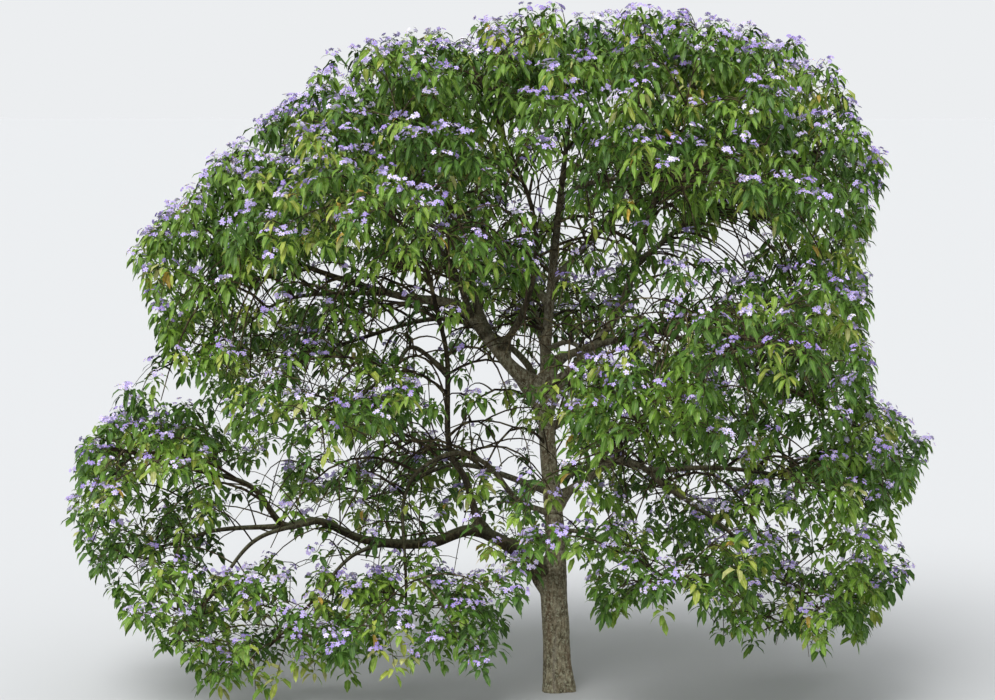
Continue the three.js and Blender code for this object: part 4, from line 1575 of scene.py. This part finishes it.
def growFlowers():
    dicer = np.random.default_rng(flowerShape["seed"])
    places, axes = floweringTufts(dicer)
    perCluster = dicer.integers(*flowerShape["perCluster"], len(places))
    cluster = np.repeat(np.arange(len(places)), perCluster)
    count = len(cluster)
    axis = unit(axes[cluster] + up * flowerShape["clusterRise"])
    turn = dicer.uniform(0, 2 * math.pi, count)
    away = np.sqrt(dicer.uniform(flowerShape["fromCentre"], 1, count))[:, None]
    flat = roundAxis(axis, turn, flowerShape["sideways"])
    lift = flowerShape["lift"] * dicer.uniform(*flowerShape["liftScatter"], count)
    foot = places[cluster]
    centre = foot + flat * flowerShape["clusterRadius"] * away + axis * lift[:, None]
    ahead, outward, scatter = flowerShape["facing"]
    facing = unit(axis * ahead + flat * away * outward + dicer.normal(0, scatter, (count, 3)))
    radius = dicer.uniform(*flowerShape["radii"], count)
    together, alone, shift = flowerShape["toneMix"]
    tone = dicer.random(len(places))[cluster] * together + dicer.random(count) * alone + shift
    spin = dicer.uniform(0, 2 * math.pi, count)
    return foot, centre, facing, radius, chooseTones(tone, petalTones), spin


def petalPoints(centre, facing, radius, spin):
    turns = rimTurns * 2 * math.pi / lobes + spin[:, None]
    spoke = roundAxis(facing[:, None], turns, flowerShape["petalSide"]) * rimReach[:, None]
    shape = np.concatenate([
        facing[:, None] * flowerShape["middleRise"],
        spoke + facing[:, None] * rimRise[:, None],
    ], axis=1)
    return centre[:, None] + shape * radius[:, None, None]


def conePoints(foot, tip, girth):
    # Three-sided cones, for eyes and stalks
    turns = np.arange(3) * 2 * math.pi / 3
    spokes = roundAxis(unit(tip - foot)[:, None], turns, flowerShape["petalSide"])
    corners = foot[:, None] + spokes * np.reshape(girth, (-1, 1, 1)) / 2
    return np.concatenate([tip[:, None], corners], axis=1)


def dressFlowers():
    foot, centre, facing, radius, tone, spin = growFlowers()
    petals = petalPoints(centre, facing, radius, spin)
    kept = wholeAbove(petals, flowerShape["lowest"])
    foot, centre, facing, radius, tone, petals = (
        values[kept] for values in (foot, centre, facing, radius, tone, petals)
    )
    for kind, (name, (rimTone, middle, _)) in enumerate(petalTones.items()):
        mesh = repeatedMesh(name, petals[tone == kind], petalFaces, petalFlat)
        showMesh(name, mesh, petalMaterial(name, rimTone, middle), "blossom")
    lift = facing * radius[:, None]
    low, high = (centre + rise * lift for rise in flowerShape["eyeRise"])
    eyes = conePoints(low, high, flowerShape["eyeGirth"] * radius)
    stalks = conePoints(foot, centre + flowerShape["middleRise"] * lift, flowerShape["stalkGirth"])
    for name, cones, skin, slot in (
        ("flower_eyes", eyes, "yellow_anthers", "blossom"),
        ("flower_stalks", stalks, "green_flower_stalk", "foliage"),
    ):
        showMesh(name, repeatedMesh(name, cones, coneFaces), skinMaterial(skin), slot)
    print("flowers:", len(centre))


dressFlowers()
thinnest = 0.006  # metres of radius at the foot, from which a twig counts as a branch
for pieceName, sticks, skin in (
    ("crown_branches", [twig for twig in twigs if twig[1] >= thinnest], "dark_branch_bark"),
    ("fine_twigs", [twig for twig in twigs if twig[1] < thinnest], "young_brown_twig"),
):
    showMesh(pieceName, twigMesh(pieceName, sticks), skinMaterial(skin), "bough_bark", smooth=True)
print("twigs made")

# Bark: swept limbs, fused and given a relief that runs along each limb
barkShape = {
    "mainLimbs": [
        "trunk", "low_left_bough", "great_left_bough", "great_right_bough", "rising_left_bough",
        "upper_left_bough", "crown_left_bough", "right_tier_bough", "low_right_bough",
    ],
    "mainDetail": 6,  # of the round section
    "sideDetail": 3,
    "voxel": 0.0106,
    "softening": (0.5, 4),  # factor and repeats
    "weld": 1e-5,
    "ringGap": 0.03,
    "markGap": 0.02,
    "fewestRings": 10,
    "collar": 0.32,  # swelling at a bough's foot, as a share of its radius
    "collarLength": 2.6,  # in diameters of its foot
    "footSunk": 0.06,  # swept below the ground and cut off there
}
# The wood that fills the corner under a fork, in diameters of the bough's foot
wedge = {
    "drop": 2.2,  # how far below the fork it begins
    "reach": 2.4,  # and how far out it ends
    "bend": 0.25,  # how far it bends towards the fork, from a straight line
    "girths": (0.8, 1.06, 0.9),  # at its ends and middle
    "rings": 12,
}
# The bark's relief. Widths are those of one furrow or lump, in metres.
relief = {
    "furrowWidth": 0.034,
    "furrowStretch": 5.0,
    "furrowDepth": 0.034,  # as a share of the radius
    "creases": (2.1, 3.1),  # in furrow widths: how much finer they are, and their shift
    "ridged": (0.6, 2.4, 0.8),  # the ridges' height, less so much of the furrows and creases
    "lumpWidth": 0.16,
    "lumpStretch": 2.0,
    "lumpShift": 7.3,
    "lumpHeight": 0.06,  # as a share of the radius
    "leastRadius": 0.012,
    "rootRidges": 5,
    "rootSway": (2, 0.7),
    "rootPower": 1.5,
    "rootHeight": 0.02,
    "rootRadius": 0.1,  # of wood that has root ridges
}
# How dark the bark is, with painted shade in it: 0 is the pale bark of the trunk's foot, 1 that of
# a thin bough
darkness = {
    "trunkFrom": 0.45,  # share of the trunk's length, and the stretch over which it darkens
    "trunkStretch": 0.5,
    "trunkMost": 0.7,
    "stain": 0.5,  # painted shadow: a dark ring round the trunk in the crotch below the low left bough
    "forkShadowShare": 0.2,
    "forkShadowWidth": 0.03,
    # Darkness at the foot of some boughs, set by the shade each lies in: a darker foot is painted
    # shade
    "feet": {"low_left_bough": 0.9, "great_left_bough": 0.05, "great_right_bough": 0.2},
    "footOnTrunk": 0.5,
    "footOnBough": 0.8,
    "boughStretch": 2.6,  # metres
}


def barkRadius(limb, shares):
    radii = radiusOf(limb, shares)
    if limb["parent"]:
        reach = barkShape["collarLength"] * limb["girth"][0]
        near = np.exp(-(shares * limb["length"] / reach) ** 2)
        radii = radii * (1 + barkShape["collar"] * near)
    return radii


def sweepLimb(limb, detail):
    rings = max(barkShape["fewestRings"], round(limb["length"] / barkShape["ringGap"])) + 1
    shares = np.linspace(0, 1, rings)
    centres = limb["course"].at(shares)
    radii = barkRadius(limb, shares)
    if not limb["parent"]:
        centres = np.vstack([centres[0] - up * barkShape["footSunk"], centres])
        radii = np.concatenate([radii[:1], radii])
    return sweptRound(limb["name"], centres, radii, detail)


def sweepWedge(limb):
    # From the parent's axis into the bough
    parent = limbs[limb["parent"]]
    girth = limb["girth"][0]
    low = limb["share"] - wedge["drop"] * girth / parent["length"]
    foot = parent["course"].at(max(low, 0))
    end = limb["course"].at(wedge["reach"] * girth / limb["length"])
    middle = (foot + end) / 2
    knee = middle + (limb["course"].at(0) - middle) * wedge["bend"]
    shares = np.linspace(0, 1, wedge["rings"])
    radii = np.interp(shares, (0, 0.5, 1), wedge["girths"]) * girth / 2
    centres = bezierOver(foot, knee, end).at(shares)
    return sweptRound(limb["name"] + "_wedge", centres, radii, barkShape["mainDetail"])


def sweptRound(name, centres, radii, detail):
    curve = bpy.data.curves.new(name, "CURVE")
    curve.dimensions = "3D"
    curve.bevel_depth = 1.0
    curve.bevel_resolution = detail
    curve.use_fill_caps = True
    spline = curve.splines.new("POLY")
    spline.points.add(len(centres) - 1)
    spline.points.foreach_set("co", np.column_stack([centres, np.ones(len(centres))]).ravel())
    spline.points.foreach_set("radius", radii)
    return bpy.data.objects.new(name, curve)


def evaluatedMesh(holder):
    # What an object looks like with its modifiers. The object itself is then removed.
    bpy.context.collection.objects.link(holder)
    graph = bpy.context.evaluated_depsgraph_get()
    mesh = bpy.data.meshes.new_from_object(holder.evaluated_get(graph))
    bpy.data.objects.remove(holder)
    return mesh


def joinedMesh(name, holders):
    joined = bmesh.new()
    for holder in holders:
        part = evaluatedMesh(holder)
        joined.from_mesh(part)
        bpy.data.meshes.remove(part)
    bmesh.ops.remove_doubles(joined, verts=joined.verts, dist=barkShape["weld"])
    bmesh.ops.recalc_face_normals(joined, faces=joined.faces)
    mesh = bpy.data.meshes.new(name)
    joined.to_mesh(mesh)
    joined.free()
    return mesh


def fused(mesh):
    holder = bpy.data.objects.new("fused", mesh)
    remesh = holder.modifiers.new("fuse", "REMESH")
    remesh.mode = "VOXEL"
    remesh.voxel_size = barkShape["voxel"]
    smooth = holder.modifiers.new("soften", "SMOOTH")
    smooth.factor, smooth.iterations = barkShape["softening"]
    return evaluatedMesh(holder)


def barkDarkness(limb, shares):
    if not limb["parent"]:
        # On the trunk: darker upwards, and painted shadow in a narrow ring at the lowest fork
        fromForkShadow = (shares - darkness["forkShadowShare"]) / darkness["forkShadowWidth"]
        rise = (shares - darkness["trunkFrom"]) / darkness["trunkStretch"]
        return np.clip(rise, 0, darkness["trunkMost"]) + darkness["stain"] * np.exp(-fromForkShadow ** 2)
    usual = darkness["footOnTrunk" if limb["parent"] == "trunk" else "footOnBough"]
    start = darkness["feet"].get(limb["name"], usual)
    return start + (1 - start) * np.clip(shares * limb["length"] / darkness["boughStretch"], 0, 1)


def axisMarks(names):
    # Marks along the limbs' axes, each with the frame that the relief is laid out in
    marks = []
    for name in names:
        limb = limbs[name]
        number = max(barkShape["fewestRings"], round(limb["length"] / barkShape["markGap"]))
        shares = np.linspace(0, 1, number)
        headings = limb["course"].headingAt(shares)
        side = np.array((0.0, 1.0, 0.0) if abs(headings[0, 1]) < steepest else (1.0, 0.0, 0.0))
        sides = []
        for heading in headings:
            side = squareTo(heading, side)
            sides.append(side)
        marks.append((
            limb["course"].at(shares), headings, sides, shares * limb["length"],
            barkRadius(limb, shares), barkDarkness(limb, shares),
        ))
    return [np.concatenate(values) for values in zip(*marks)]


batch = 4000  # points that are measured at a time


def nearestMarks(points, places, radii):
    # The mark whose own surface is nearest, so that a bough's buried foot doesn't count
    nearest = np.empty(len(points), int)
    squares = (places ** 2).sum(1)
    for first in range(0, len(points), batch):
        part = points[first:first + batch]
        table = (part ** 2).sum(1)[:, None] + squares - 2 * part @ places.T
        nearest[first:first + batch] = (np.sqrt(np.maximum(table, 0)) - radii).argmin(1)
    return nearest


def noiseAt(places):
    return np.array([noise.noise(Vector(place)) for place in places])


def readVertices(mesh, key):
    values = np.empty(len(mesh.vertices) * 3, np.float32)
    mesh.vertices.foreach_get(key, values)
    return values.reshape(-1, 3)


def carveBark(mesh, names):
    places, headings, sides, alongs, radii, tones = axisMarks(names)
    points, normals = readVertices(mesh, "co").astype(float), readVertices(mesh, "normal")
    mark = nearestMarks(points, places, radii)
    heading, side = headings[mark], sides[mark]
    offset = points - places[mark]
    outward = squareTo(heading, offset)
    cosine = (outward * side).sum(1)
    sine = (outward * np.cross(heading, side)).sum(1)
    radius = np.maximum(radii[mark], relief["leastRadius"])
    along = alongs[mark] + (offset * heading).sum(1)
    lay = np.column_stack([cosine * radius, sine * radius, along])
    furrowLay = lay * (1, 1, 1 / relief["furrowStretch"]) / relief["furrowWidth"]
    finer, shift = relief["creases"]
    height, furrowed, creased = relief["ridged"]
    ridged = height - np.abs(noiseAt(furrowLay)) * furrowed
    ridged -= np.abs(noiseAt(furrowLay * finer + shift)) * creased
    lumpLay = lay * (1, 1, 1 / relief["lumpStretch"]) / relief["lumpWidth"] + relief["lumpShift"]
    rise = (ridged * relief["furrowDepth"] + noiseAt(lumpLay) * relief["lumpHeight"]) * radius
    lowness = np.clip(1 - points[:, 2] / wood["flareHeight"], 0, 1) ** relief["rootPower"]
    turn = np.arctan2(sine, cosine)
    sway, swayTurn = relief["rootSway"]
    ridge = np.cos(relief["rootRidges"] * turn + sway * np.sin(turn + swayTurn))
    rise += np.where(radius > relief["rootRadius"], lowness * ridge * relief["rootHeight"], 0)
    points += normals * rise[:, None]
    mesh.vertices.foreach_set("co", points.ravel())
    # The bark's darkness at each point, painted shade included, for the material
    layer = mesh.attributes.new("bough", "FLOAT", "POINT")
    layer.data.foreach_set("value", tones[mark].astype(np.float32))
    mesh.update()


def cutAtGround(mesh):
    body = bmesh.new()
    body.from_mesh(mesh)
    cut = bmesh.ops.bisect_plane(body, geom=[*body.verts, *body.edges, *body.faces],
                                 plane_co=(0, 0, 0), plane_no=(0, 0, -1), clear_outer=True)
    edges = [item for item in cut["geom_cut"] if isinstance(item, bmesh.types.BMEdge)]
    bmesh.ops.holes_fill(body, edges=edges, sides=0)
    body.to_mesh(mesh)
    body.free()


def dressMainBark(material):
    names = barkShape["mainLimbs"]
    holders = [sweepLimb(limbs[name], barkShape["mainDetail"]) for name in names]
    holders += [sweepWedge(limbs[name]) for name in names if limbs[name]["parent"]]
    mesh = fused(joinedMesh("main_bark", holders))
    carveBark(mesh, names)
    cutAtGround(mesh)
    showMesh("trunk_and_main_boughs", mesh, material, "trunk_bark", names, smooth=True)


def dressSideBark(material):
    names = [name for name in limbs if name not in barkShape["mainLimbs"]]
    holders = [sweepLimb(limbs[name], barkShape["sideDetail"]) for name in names]
    mesh = joinedMesh("side_bark", holders)
    carveBark(mesh, names)
    showMesh("side_boughs", mesh, material, "bough_bark", names, smooth=True)


livingBark = barkMaterial()
dressMainBark(livingBark)
dressSideBark(livingBark)

# Studio: a pale floor that runs into a pale sky, and soft light from the upper left
studio = {
    "floorSize": 9000.0,
    "floor": "c8c9ca",
    "sky": "eceef0",
    "skyStrength": 1.0,
    "sunPower": 2.4,
    "sunSoftness": 40,  # degrees across
    "sunTilt": (36, 0, -32),  # degrees
}


def dressStudio():
    floor = bpy.data.meshes.new("floor")
    shape = bmesh.new()
    bmesh.ops.create_grid(shape, x_segments=1, y_segments=1, size=studio["floorSize"] / 2)
    shape.to_mesh(floor)
    shape.free()
    material, _, shader = newMaterial("pale_floor", roughness=0.9, specular=0.1)
    shader.inputs["Base Color"].default_value = linearColour(studio["floor"])
    floor.materials.append(material)
    ground = bpy.data.objects.new("floor", floor)
    bpy.context.collection.objects.link(ground)
    ground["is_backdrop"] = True
    world = bpy.data.worlds.new("pale_sky")
    world.use_nodes = True
    backdrop = world.node_tree.nodes["Background"]
    backdrop.inputs["Color"].default_value = linearColour(studio["sky"])
    backdrop.inputs["Strength"].default_value = studio["skyStrength"]
    bpy.context.scene.world = world
    light = bpy.data.lights.new("soft_sun", "SUN")
    light.energy = studio["sunPower"]
    light.angle = math.radians(studio["sunSoftness"])
    lamp = bpy.data.objects.new("soft_sun", light)
    lamp.rotation_euler = [math.radians(angle) for angle in studio["sunTilt"]]
    bpy.context.collection.objects.link(lamp)
    bpy.context.scene.view_settings.view_transform = "Standard"


dressStudio()
print("studio ready")

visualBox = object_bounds()
({name: [list(corner) for corner in box]
           for name, box in (("cad", cadBox), ("visual", visualBox))})
